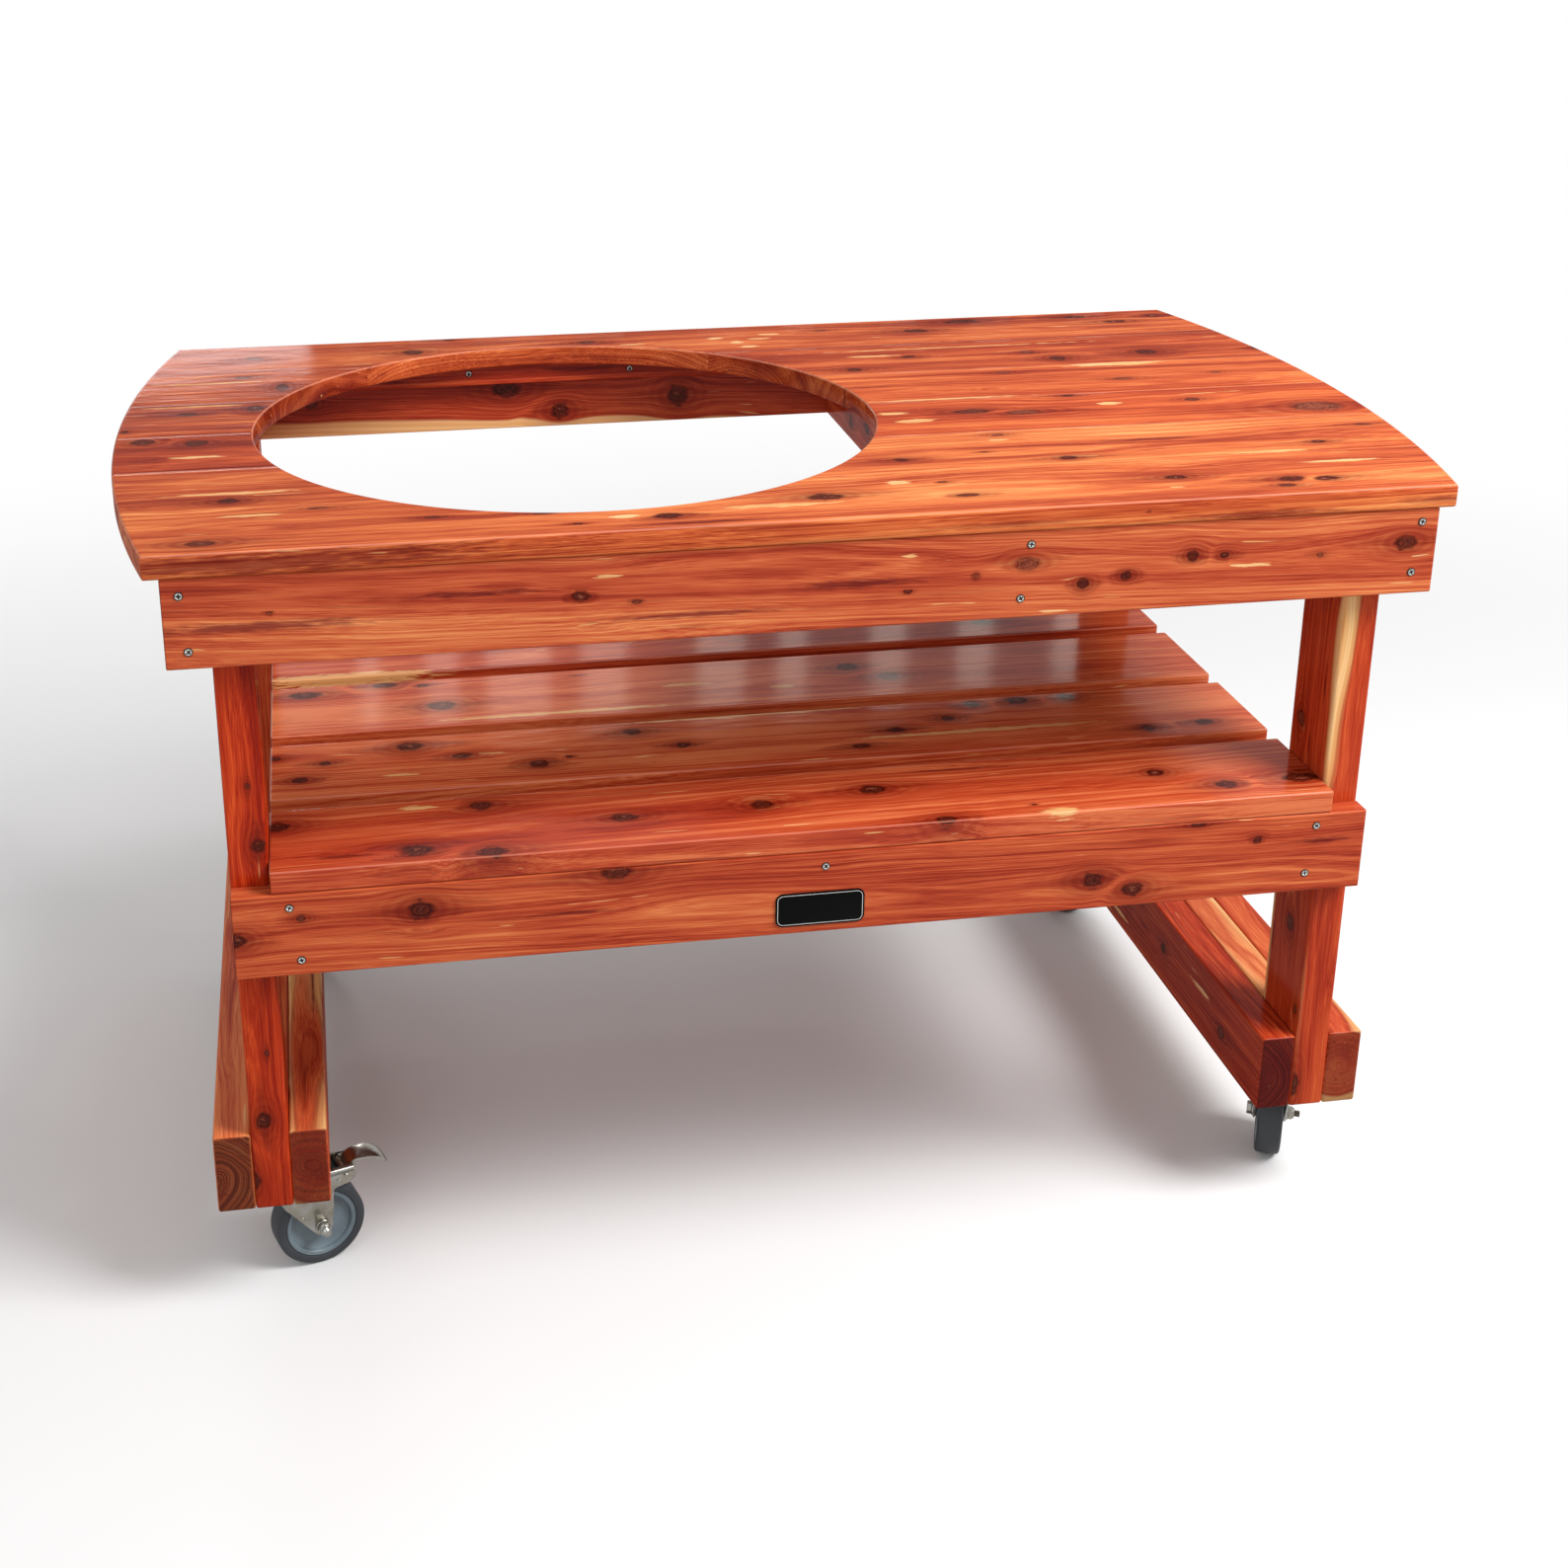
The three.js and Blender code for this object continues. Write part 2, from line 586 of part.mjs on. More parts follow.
function addCasters() {
  const x = legX - KINGPIN_INBOARD;
  const y = legFace - KINGPIN_BEHIND_LEG_FACE;
  addCaster('front_left', -x, -y, FRONT_LEFT_TURN_SHARE);
  addCaster('front_right', x, -y, FRONT_RIGHT_TURN_SHARE);
  addCaster('back_left', -x, y, BACK_LEFT_TURN_SHARE);
  addCaster('back_right', x, y, BACK_RIGHT_TURN_SHARE);
}

addTop();
addAprons();
addLegsAndFeet();
addShelf();
addNameplate();
addCasters();

export default table;
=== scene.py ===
"""Kamado grill table in varnished aromatic red cedar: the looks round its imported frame.

Shapes are worked out in millimetres and made in metres. +X runs along the table, +Y to its
back and +Z up. Every board carries its grain as mesh attributes, so that rings, fibres and
knots run through its faces, edges and ends alike.
"""
import math

import bpy
import numpy as np
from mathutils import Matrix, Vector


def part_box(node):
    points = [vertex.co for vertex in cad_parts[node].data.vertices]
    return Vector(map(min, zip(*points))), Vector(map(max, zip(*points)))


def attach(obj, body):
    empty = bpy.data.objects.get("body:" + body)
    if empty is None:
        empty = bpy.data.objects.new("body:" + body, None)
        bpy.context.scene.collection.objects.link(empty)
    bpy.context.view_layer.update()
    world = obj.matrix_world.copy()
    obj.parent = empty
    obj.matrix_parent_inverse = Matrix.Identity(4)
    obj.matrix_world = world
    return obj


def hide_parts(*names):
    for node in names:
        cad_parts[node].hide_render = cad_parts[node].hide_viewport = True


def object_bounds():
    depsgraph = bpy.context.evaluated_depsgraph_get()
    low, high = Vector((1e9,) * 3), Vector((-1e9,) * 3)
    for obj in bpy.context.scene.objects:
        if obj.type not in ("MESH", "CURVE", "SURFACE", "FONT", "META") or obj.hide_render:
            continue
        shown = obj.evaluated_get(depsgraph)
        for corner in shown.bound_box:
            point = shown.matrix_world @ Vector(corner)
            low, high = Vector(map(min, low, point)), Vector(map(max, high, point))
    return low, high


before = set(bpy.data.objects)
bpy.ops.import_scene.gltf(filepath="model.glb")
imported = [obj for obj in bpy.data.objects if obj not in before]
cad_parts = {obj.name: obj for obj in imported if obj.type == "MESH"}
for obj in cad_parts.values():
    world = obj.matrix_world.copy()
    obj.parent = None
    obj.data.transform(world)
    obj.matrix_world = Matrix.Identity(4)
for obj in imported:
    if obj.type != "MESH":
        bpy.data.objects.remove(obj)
cad_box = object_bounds()

MM = 0.001

# Camera at the photograph's viewpoint, in metres, with its lens in millimetres
CAMERA_PLACE = (-0.4677, -2.3176, 1.4817)
CAMERA_TURN_DEG = (69.738, 0.247, -9.289)
FOCAL_LENGTH = 50.2
SENSOR_WIDTH = 36.0
CAMERA_SHIFT = (0.0759, -0.1124)

# Studio, in metres and watts
FLOOR_RADIUS = 14.0
FLOOR_SIDES = 96
FLOOR_FADE_FROM = 1.3
FLOOR_FADE_TO = 3.2
FLOOR_GREY = "#EDEDED"
FLOOR_BOUNCE_GREY = "#9A9693"
ROOM_STRENGTH = 0.5
KEY_POWER = 140.0
KEY_SIZE = 1.5
KEY_PLACE = (2.0, -1.5, 3.0)
FILL_POWER = 26.0
FILL_SIZE = 2.6
FILL_PLACE = (-2.4, -2.8, 2.2)
BACK_POWER = 34.0
BACK_SIZE = 0.9
BACK_PLACE = (-0.95, 4.4, 1.4)

# Narrow lights behind the table that show only as streaks in the varnish: x and width
STRIP_LIGHTS = [
    (-0.416, 0.033), (-0.299, 0.056), (-0.175, 0.105), (-0.032, 0.077), (0.163, 0.078),
    (0.285, 0.049), (0.449, 0.06), (0.6, 0.06), (0.764, 0.051),
]
STRIP_Y = 1.0
STRIP_HEIGHTS = (0.62, 0.985)
STRIP_STRENGTH = 3.6

# Tabletop, as the frame has it
TOP_DEPTH = 805.0
TOP_HALF_LENGTH = 637.15
TOP_ROUNDOVER = 3.0
END_BOW = 49.0
HOLE_RADIUS = 339.5
HOLE_X = -201.65
FRONT_FACE = -399.5

# Board meshes
FINE_CELL = 6.0
COARSE_CELL = 12.0
GUARD = 0.4
EASE_ARC_STEPS = 4
END_EASE_FROM = 0.16
HOLE_CHORD_SHARE = 0.8
SEAM_EASE = 0.25
BOARD_EASE = 1.6
STUD_EASE = 3.0
SHELF_EASE = 2.4
STUD_THICK = 38.1

# Casters
CASTER_HEIGHT = 121.7
KINGPIN_X = 558.2
KINGPIN_Y = 307.2
# Each caster's side of the table along x and y, and how far it is turned, as a share of a turn
CASTER_TURN_SHARES = {
    "front_left": (-1, -1, 0.05),
    "front_right": (1, -1, 0.182),
    "back_left": (-1, 1, 0.11),
    "back_right": (1, 1, 0.39),
}
TRAIL = 37.0
AXLE_DROP = 72.7
WHEEL_RADIUS = 49.0
FORK_INNER = 16.0
FORK_THICK = 2.5
PLATE_SIZE = (92.0, 62.0, 2.5)
PLATE_CORNER = 7.0
PLATE_HOLE_EDGE = 8.5
CROWN_TOP = -8.3
CROWN_THICK = 3.0
FORK_RIVETS = ((15.0, -57.0, 2.6), (58.0, -22.0, 3.0))
HOUSING_EDGE = (20.0, 75.5)
SHOE_GAP = 1.6
SHOE_BACK = 5.0
SHOE_ANGLES = (50, 74)
SHOE_HALF_WIDTH = 11.0
CARRIER_HALF_WIDTH = 9.0
SPRING_TURNS = 2.5
SPRING_RADIUS = 4.6
SPRING_WIRE_RADIUS = 0.7
SPRING_FROM_PIVOT = (-12.0, 4.0)
SPRING_FROM_MIDDLE = 10.2
SPRING_LENGTH = 1.9
PEDAL_PIVOT = (66.0, -17.5)
PEDAL_REACH = 114.0
PEDAL_CREST = -3.9
PEDAL_TIP = -17.5
PEDAL_DOME = 2.4
DOME_POWER = 2.6
LUG_SEATS = (-9.6, 7.8)
LUG_THICK = 1.8
METAL_CREASE_DEG = 38

# Screws: each one's place along x and by height, and the plane of the back cleat's face
SCREW_RADIUS = 4.2
SCREW_RISE = 1.3
SCREW_TURN_STEP = 0.7
APRON_SCREWS = [
    (-605.9, 804), (-601.2, 749.2), (201.4, 806.8), (193.4, 751.8), (604.9, 807), (599.2, 754.4),
]
RAIL_SCREWS = [(-526.6, 478.1), (-518.2, 420.6), (527.7, 479.4), (520.2, 425.3), (5.3, 477.6)]
CLEAT_SCREWS = [(-282.5, 810.6), (-79.5, 808.9)]
CLEAT_FACE = 351.2
SCREW_RING_SHARES = (0.06, 0.2, 0.3, 0.42, 0.54, 0.6, 0.78, 0.92, 1.0)
SCREW_STEPS = 24
SCREW_DOME_SHARE = 0.75
CROSS_HALF_WIDTH_SHARE = 0.17
CROSS_REACH_SHARE = 0.56
CROSS_DEPTH_SHARE = 0.62
SCREW_SUNK = 0.4
# Painted shade and grime on the screw heads: how dark the cross is, and the shares of the radius between
# which the rim darkens
CROSS_SHADE_AND_GRIME = 0.8
RIM_SHADE_AND_GRIME_SHARES = (2 / 3, 17 / 18)

# Black plate
NAMEPLATE_CORNER = 8.0


def linear(colour):
    """An sRGB hex colour as linear red, green, blue and alpha."""
    shares = [int(colour[i:i + 2], 16) / 255 for i in (1, 3, 5)]
    return (*[c / 12.92 if c <= 0.04045 else ((c + 0.055) / 1.055) ** 2.4 for c in shares], 1.0)


def add(tree, kind, inputs=None, out=0, ramp=None, **settings):
    """Adds a node with its settings, values and links, and returns one of its outputs."""
    made = tree.nodes.new(kind)
    for name, value in settings.items():
        setattr(made, name, value)
    for socket, value in (inputs or {}).items():
        if isinstance(value, bpy.types.NodeSocket):
            tree.links.new(value, made.inputs[socket])
        else:
            made.inputs[socket].default_value = value
    if ramp:
        stops = made.color_ramp.elements
        while len(stops) < len(ramp):
            stops.new(1.0)
        for stop, (place, colour) in zip(stops, ramp):
            stop.position = place
            stop.color = linear(colour)
    return made.outputs[out] if len(made.outputs) else made


def start_material(name):
    """A new empty material and its node tree."""
    made = bpy.data.materials.new(name)
    made.use_nodes = True
    made.node_tree.nodes.clear()
    return made, made.node_tree


def finish_material(tree, shader):
    """Ends a material's tree in its surface shader."""
    add(tree, "ShaderNodeOutputMaterial", {"Surface": shader})


# Camera, light and floor
def add_camera():
    """A camera at the photograph's viewpoint, with its crop as a shift."""
    data = bpy.data.cameras.new("camera")
    data.lens = FOCAL_LENGTH
    data.sensor_width = SENSOR_WIDTH
    data.shift_x, data.shift_y = CAMERA_SHIFT
    made = bpy.data.objects.new("camera", data)
    made.location = CAMERA_PLACE
    made.rotation_euler = [math.radians(angle) for angle in CAMERA_TURN_DEG]
    bpy.context.scene.collection.objects.link(made)
    bpy.context.scene.camera = made


def add_softbox(name, power, size, place):
    """A square lamp that faces the middle of the table."""
    data = bpy.data.lights.new(name, "AREA")
    data.energy = power
    data.size = size
    made = bpy.data.objects.new(name, data)
    made.location = place
    away = made.location - (cad_box[0] + cad_box[1]) / 2
    made.rotation_euler = away.to_track_quat("Z", "Y").to_euler()
    bpy.context.scene.collection.objects.link(made)


def add_room():
    """White to the camera, to gloss and through clear things, and a plain level for the rest."""
    world = bpy.data.worlds.new("room")
    world.use_nodes = True
    tree = world.node_tree
    tree.nodes.clear()
    seen = add(tree, "ShaderNodeLightPath", out="Is Camera Ray")
    path = seen.node
    glossy = add(tree, "ShaderNodeMath", {0: seen, 1: path.outputs["Is Glossy Ray"]},
                 operation="MAXIMUM")
    white = add(tree, "ShaderNodeMath", {0: glossy, 1: path.outputs["Is Transmission Ray"]},
                operation="MAXIMUM")
    plain = add(tree, "ShaderNodeBackground", {"Color": linear("#FFFFFF"), "Strength": ROOM_STRENGTH})
    bright = add(tree, "ShaderNodeBackground", {"Color": linear("#FFFFFF"), "Strength": 1.0})
    mixed = add(tree, "ShaderNodeMixShader", {0: white, 1: plain, 2: bright})
    add(tree, "ShaderNodeOutputWorld", {"Surface": mixed})
    bpy.context.scene.world = world


def add_stage_mesh(name, corners, faces, material):
    """A flat mesh of the studio, which isn't part of the object."""
    mesh = bpy.data.meshes.new(name)
    mesh.from_pydata(corners, [], faces)
    mesh.materials.append(material)
    made = bpy.data.objects.new(name, mesh)
    bpy.context.scene.collection.objects.link(made)


def add_floor():
    """A pale floor that keeps the table's shadow and fades into the white room further out."""
    material, tree = start_material("studio_floor")
    place = add(tree, "ShaderNodeTexCoord", out="Object")
    reach = add(tree, "ShaderNodeVectorMath", {0: place}, out="Value", operation="LENGTH")
    fade = add(tree, "ShaderNodeMapRange", {
        "Value": reach, "From Min": FLOOR_FADE_FROM, "From Max": FLOOR_FADE_TO,
    }, interpolation_type="SMOOTHSTEP")
    seen = add(tree, "ShaderNodeLightPath", out="Is Diffuse Ray")
    paint = add(tree, "ShaderNodeMix", {0: seen, 6: linear(FLOOR_GREY), 7: linear(FLOOR_BOUNCE_GREY)},
                out=2, data_type="RGBA")
    matt = add(tree, "ShaderNodeBsdfDiffuse", {"Color": paint})
    glow = add(tree, "ShaderNodeEmission", {"Color": linear("#FFFFFF"), "Strength": 1.0})
    shown = add(tree, "ShaderNodeMixShader", {0: fade, 1: matt, 2: glow})
    under = add(tree, "ShaderNodeNewGeometry", out="Backfacing")
    clear = add(tree, "ShaderNodeBsdfTransparent")
    finish_material(tree, add(tree, "ShaderNodeMixShader", {0: under, 1: shown, 2: clear}))
    turns = np.linspace(0, 2 * math.pi, FLOOR_SIDES, endpoint=False)
    rim = np.c_[np.cos(turns), np.sin(turns), 0 * turns] * FLOOR_RADIUS
    add_stage_mesh("studio_floor", rim.tolist(), [list(range(FLOOR_SIDES))], material)


def add_strip_lights():
    """Upright strips of light that only glossy rays meet."""
    material, tree = start_material("strip_lights")
    seen = add(tree, "ShaderNodeLightPath", out="Is Glossy Ray")
    clear = add(tree, "ShaderNodeBsdfTransparent")
    glow = add(tree, "ShaderNodeEmission", {"Color": linear("#FFF6EC"), "Strength": STRIP_STRENGTH})
    finish_material(tree, add(tree, "ShaderNodeMixShader", {0: seen, 1: clear, 2: glow}))
    low, high = STRIP_HEIGHTS
    corners = [(x + side * width / 2, STRIP_Y, z) for x, width in STRIP_LIGHTS
               for side, z in ((-1, low), (1, low), (1, high), (-1, high))]
    faces = np.arange(len(corners)).reshape(-1, 4).tolist()
    add_stage_mesh("strip_lights", corners, faces, material)


# Meshes
def grid_quads(rows, columns, wrap_rows=False, wrap_columns=False):
    """Index quads of a grid of points kept row by row, closed round either way if asked."""
    i = np.arange(rows if wrap_rows else rows - 1)[:, None]
    j = np.arange(columns if wrap_columns else columns - 1)[None, :]
    after_i, after_j = (i + 1) % rows, (j + 1) % columns
    corners = [i * columns + j, after_i * columns + j, after_i * columns + after_j, i * columns + after_j]
    return np.stack([np.broadcast_to(c, (i.size, j.size)) for c in corners], axis=-1).reshape(-1, 4)


def outward(points, quads, rims=()):
    """A shape as its millimetre points, quads and flat many-sided rims, all facing outwards."""
    points = np.asarray(points, float).reshape(-1, 3)
    quads = np.asarray(quads, int).reshape(-1, 4)
    rims = [np.asarray(rim, int) for rim in rims]
    a, b, c, d = (points[quads[:, k]] for k in range(4))
    volume = (a * (np.cross(b, c) + np.cross(c, d))).sum()
    for rim in rims:
        p = points[rim]
        volume += (np.cross(p[1:-1], p[2:]) @ p[0]).sum()
    if volume < 0:
        quads, rims = quads[:, ::-1], [rim[::-1] for rim in rims]
    return points, quads, rims


def capped_tube(points):
    """A shape from rows of points, each row a closed section, its first and last section flat."""
    rows, columns = points.shape[:2]
    section = np.arange(columns)
    rims = [section, section[::-1] + (rows - 1) * columns]
    return outward(points, grid_quads(rows, columns, wrap_columns=True), rims)


def joined(*shapes):
    """Several shapes as one."""
    points, quads, rims, count = [], [], [], 0
    for shape in shapes:
        points.append(shape[0])
        quads.append(shape[1] + count)
        rims += [rim + count for rim in shape[2]]
        count += len(shape[0])
    return np.concatenate(points), np.concatenate(quads), rims


def build_mesh(name, shape, crease=None):
    """A mesh in metres. Its rims are flat, and edges sharper than the crease angle stay crisp."""
    points, quads, rims = shape
    mesh = bpy.data.meshes.new(name)
    mesh.from_pydata(points * MM, [], [*quads.tolist(), *[rim.tolist() for rim in rims]])
    smooth = np.ones(len(mesh.polygons), bool)
    smooth[len(quads):] = False
    mesh.polygons.foreach_set("use_smooth", smooth)
    mesh.update()
    if crease:
        mesh.set_sharp_from_angle(angle=math.radians(crease))
    return mesh


def add_piece(mesh, material, body, replaced=()):
    """Puts a mesh in the scene as a piece of the object, on its body, in its slot."""
    mesh.materials.append(material)
    made = bpy.data.objects.new(mesh.name, mesh)
    bpy.context.scene.collection.objects.link(made)
    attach(made, body)
    if replaced:
        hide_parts(*replaced)
    return made


def even_steps(start, stop, cell):
    """Evenly spaced values strictly between two ends, at most a cell apart."""
    count = max(1, math.ceil(abs(stop - start) / cell))
    return np.linspace(start, stop, count + 1)[1:-1]


# Boards
def rounded_section(width, height, radius, cell):
    """Points round a rounded rectangle, as the arcs' centre line and an outward direction.

    A point at inset d lies at its centre-line point plus (radius - d) times its direction.
    Each straight side has a guard point just inside both ends, which keeps its shading flat.
    """
    corners = [(1, 1), (-1, 1), (-1, -1), (1, -1)]
    centres = [np.array([sx * (width / 2 - radius), sy * (height / 2 - radius)]) for sx, sy in corners]
    base, out = [], []
    for k, centre in enumerate(centres):
        angles = (k + np.linspace(0, 1, EASE_ARC_STEPS + 1)) * math.pi / 2
        base.append(np.repeat(centre[None], len(angles), axis=0))
        out.append(np.c_[np.cos(angles), np.sin(angles)])
        ahead = centres[(k + 1) % 4] - centre
        length = np.linalg.norm(ahead)
        along = np.r_[GUARD, even_steps(GUARD, length - GUARD, cell), length - GUARD]
        base.append(centre + along[:, None] * ahead / length)
        out.append(np.repeat(out[-1][-1][None], len(along), axis=0))
    return np.concatenate(base), np.concatenate(out)


def board_grid(length, width, height, radius, cell):
    """Rows of section points carried along a board, drawn in by the roundover at both ends."""
    base, out = rounded_section(width, height, radius, cell)
    turn = np.linspace(END_EASE_FROM, 0.5 * math.pi, EASE_ARC_STEPS + 1)
    insets = radius * (1 - np.sin(turn))
    places = radius * (1 - np.cos(turn)) - length / 2
    middle = even_steps(places[-1] + GUARD, -places[-1] - GUARD, cell)
    guard = places[-1] + GUARD
    stations = np.r_[places, guard, middle, -guard, -places[::-1]]
    inset = np.r_[insets, 0, 0 * middle, 0, insets[::-1]]
    section = base[None] + (radius - inset)[:, None, None] * out[None]
    along = np.broadcast_to(stations[:, None, None], (*section.shape[:2], 1))
    return np.concatenate([along, section], axis=2)


def node_box(node):
    """The lowest and highest corner of a CAD node, in millimetres."""
    low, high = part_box(node)
    return np.array(low) / MM, np.array(high) / MM


def timber_mesh(name, low, high, radius, cell):
    """A squared board that fills a box, and which world axes run along, across and through it."""
    order = np.argsort(low - high)
    size = (high - low)[order]
    grid = board_grid(*size, radius, cell)
    points = np.zeros_like(grid)
    points[..., order] = grid
    points += (low + high) / 2
    return build_mesh(name, capped_tube(points)), order


def edge_profile(thick):
    """Inset and height round one long edge, from the underside's guard point to the top's."""
    turn = np.linspace(0, 0.5 * math.pi, EASE_ARC_STEPS + 1)
    inset = TOP_ROUNDOVER * (1 - np.sin(turn))
    drop = TOP_ROUNDOVER * (1 - np.cos(turn))
    wall = even_steps(TOP_ROUNDOVER, thick - TOP_ROUNDOVER, COARSE_CELL)
    insets = np.r_[TOP_ROUNDOVER + GUARD, inset, 0 * wall, inset[::-1], TOP_ROUNDOVER + GUARD]
    heights = np.r_[0, drop, wall, thick - drop[::-1], thick]
    return insets, heights


def end_x(side, y, inset):
    """The bowed end: an arc through the corners, drawn in towards its centre by the inset."""
    half = TOP_DEPTH / 2
    radius = (half * half + END_BOW * END_BOW) / (2 * END_BOW)
    centre = TOP_HALF_LENGTH + END_BOW - radius
    return side * (centre + np.sqrt((radius - inset) ** 2 - y * y))


def hole_reach(offset, inset):
    """Half the hole's chord at a distance from its centre line, the rim's inset added."""
    return np.sqrt(np.maximum((HOLE_RADIUS + inset) ** 2 - offset * offset, 0))


def plank_profile(low_of, high_of, thick, share_steps):
    """Points round a plank's section: its low edge, top, high edge and underside in turn."""
    insets, heights = edge_profile(thick)
    inner = TOP_ROUNDOVER + GUARD
    shares = np.linspace(0, 1, share_steps + 1)[1:-1]
    low, high = low_of(inner), high_of(inner)
    across = [
        *[low_of(inset) for inset in insets],
        *[low + share * (high - low) for share in shares],
        *[high_of(inset) for inset in insets[::-1]],
        *[high + share * (low - high) for share in shares],
    ]
    up = np.r_[heights, np.full(len(shares), thick), heights[::-1], np.zeros(len(shares))]
    return np.stack(across, axis=-1), up


def plank_faces(rows, columns, edge, shares):
    """Quads of a plank's skin, and of its two ends in strips between its top and underside."""
    quads = [grid_quads(rows, columns, wrap_columns=True)]
    rims = []
    top = np.arange(edge - 1, edge + shares + 1)
    under = np.r_[0, columns - 1 - np.arange(shares), 2 * edge + shares - 1]
    for start in (0, (rows - 1) * columns):
        turn = -1 if start else 1
        strip = np.stack([top[:-1], top[1:], under[1:], under[:-1]], axis=1) + start
        quads.append(strip[:, ::turn])
        rims.append((np.arange(edge) + start)[::turn])
        rims.append((np.arange(edge) + edge + shares + start)[::turn])
    return np.concatenate(quads), rims


def ease_ends(heights, thick, drops):
    """Heights of a section in each row, kept inside the faces lowered by the row's drop."""
    drops = np.asarray(drops)[:, None]
    return np.clip(np.broadcast_to(heights, (len(drops), len(heights))), drops, thick - drops)


def part_plank(node, side):
    """A plank beside the hole: sections across it run from the bowed end to the hole's edge."""
    low, high = node_box(node)
    thick = high[2] - low[2]
    y = np.r_[low[1], low[1] + SEAM_EASE, even_steps(low[1], high[1], FINE_CELL),
              high[1] - SEAM_EASE, high[1]]
    drops = np.r_[SEAM_EASE, np.zeros(len(y) - 2), SEAM_EASE]
    reach = TOP_HALF_LENGTH - side * HOLE_X - HOLE_CHORD_SHARE * HOLE_RADIUS
    steps = math.ceil(reach / FINE_CELL)
    across, up = plank_profile(
        lambda inset: end_x(side, y, inset),
        lambda inset: HOLE_X + side * hole_reach(y, inset),
        thick, steps)
    points = np.stack([across, np.broadcast_to(y[:, None], across.shape),
                       low[2] + ease_ends(up, thick, drops)], axis=-1)
    return points, steps


def bow_ends(x, across, insets, blend, straight):
    """Moves a plank's end rows onto its bowed ends, and lets the next rows lean back straight."""
    count = len(insets) + len(blend)
    for sign, row in ((-1, 0), (1, -1)):
        rounded = [end_x(sign, across[row], inset) for inset in insets]
        leaning = [rounded[-1] + share * (sign * straight - rounded[-1]) for share in blend]
        block = np.stack([*rounded, *leaning])
        if sign < 0:
            x[:count] = block
        else:
            x[-count:] = block[::-1]


def whole_plank(node, side):
    """The front or back plank: sections along it run from its outer edge to its seam or the hole."""
    low, high = node_box(node)
    thick = high[2] - low[2]
    outer = side * TOP_DEPTH / 2
    seam = high[1] if side < 0 else low[1]
    turn = np.linspace(0, 0.5 * math.pi, EASE_ARC_STEPS + 1)
    insets = np.r_[TOP_ROUNDOVER * (1 - np.cos(turn)), TOP_ROUNDOVER + GUARD]
    drops = np.r_[TOP_ROUNDOVER * (1 - np.sin(turn)), 0]
    straight = TOP_HALF_LENGTH - END_BOW
    blend = np.linspace(0, 1, math.ceil(2 * END_BOW / FINE_CELL) + 1)[1:-1]
    bite = HOLE_X + np.array([-1, 1]) * hole_reach(seam, 0)
    wide = HOLE_X + np.array([-1, 1]) * hole_reach(seam, TOP_ROUNDOVER)
    middle = np.sort(np.r_[-straight, even_steps(-straight, straight, FINE_CELL), straight,
                           bite, wide, bite - GUARD * np.array([1, -1])])
    count = len(insets) + len(blend)
    nominal = np.r_[np.full(count, -straight), middle, np.full(count, straight)]
    steps = math.ceil(abs(outer - seam) / FINE_CELL)

    def inner_edge(inset):
        """The hole's edge where it bites into the plank, and the seam elsewhere."""
        at_hole = side * hole_reach(nominal - HOLE_X, inset)
        return np.where(np.abs(at_hole) > abs(seam), at_hole, seam)

    across, up = plank_profile(
        lambda inset: np.full(len(nominal), outer - side * inset), inner_edge, thick, steps)
    x = np.repeat(nominal[:, None], across.shape[1], axis=1)
    bow_ends(x, across, insets, blend, straight)
    all_drops = np.r_[drops, 0 * blend, 0 * middle, 0 * blend, drops[::-1]]
    points = np.stack([x, across, low[2] + ease_ends(up, thick, all_drops)], axis=-1)
    return points, steps


def plank_mesh(node, side, whole):
    """A tabletop plank on its node, and its axes, which are the world's own."""
    points, steps = (whole_plank if whole else part_plank)(node, side)
    rows, columns = points.shape[:2]
    quads, rims = plank_faces(rows, columns, (columns - 2 * (steps - 1)) // 2, steps - 1)
    return build_mesh("cedar_" + node, outward(points, quads, rims)), np.arange(3)


# Grain
# A mark is (along, across, half length, half width, depth), in millimetres. A depth over 0 is
# a knot, darker towards 1, of -1 a cream fleck and of -2 a dark streak.
KNOT_REACH_SHARES = (3.4, 2.4)
ROOM_FADE_SHARE = 0.4
KNOT_TAPER = 0.35
NARROW_FACING = 0.7
END_FACING = (0.5, 0.9)


def read_values(items, name, width, kind=float):
    """A property of every item of a mesh as one array, with a row for each item."""
    values = np.zeros(len(items) * width, kind)
    items.foreach_get(name, values)
    return values.reshape(-1, width) if width > 1 else values


def write_vectors(mesh, name, domain, values):
    """Stores rows of three values on a mesh under a name that its material reads."""
    mesh.attributes.new(name, "FLOAT_VECTOR", domain).data.foreach_set("vector", values.ravel())


def nearest_marks(places, owner, marks):
    """Each corner's place from the mark that is nearest its face, its room there, and the size.

    Distance is counted in knot reaches. Room is how much nearer that mark is than any other, so
    it falls to 0 where two marks meet.
    """
    table = np.array(marks, float)
    away = places[:, None] - table[None, :, :2]
    distance = np.linalg.norm(away / (table[None, :, 2:4] * KNOT_REACH_SHARES), axis=2)
    _, which, corners = np.unique(owner, return_inverse=True, return_counts=True)
    at_faces = [np.bincount(which, column) / corners for column in distance.T]
    nearest = np.argmin(at_faces, axis=0)[which]
    row = np.arange(len(places))
    own = distance[row, nearest]
    distance[row, nearest] = np.inf
    room = np.clip((distance.min(axis=1) - own) / ROOM_FADE_SHARE, 0, 1)
    return np.c_[away[row, nearest], room], table[nearest, 2:5]


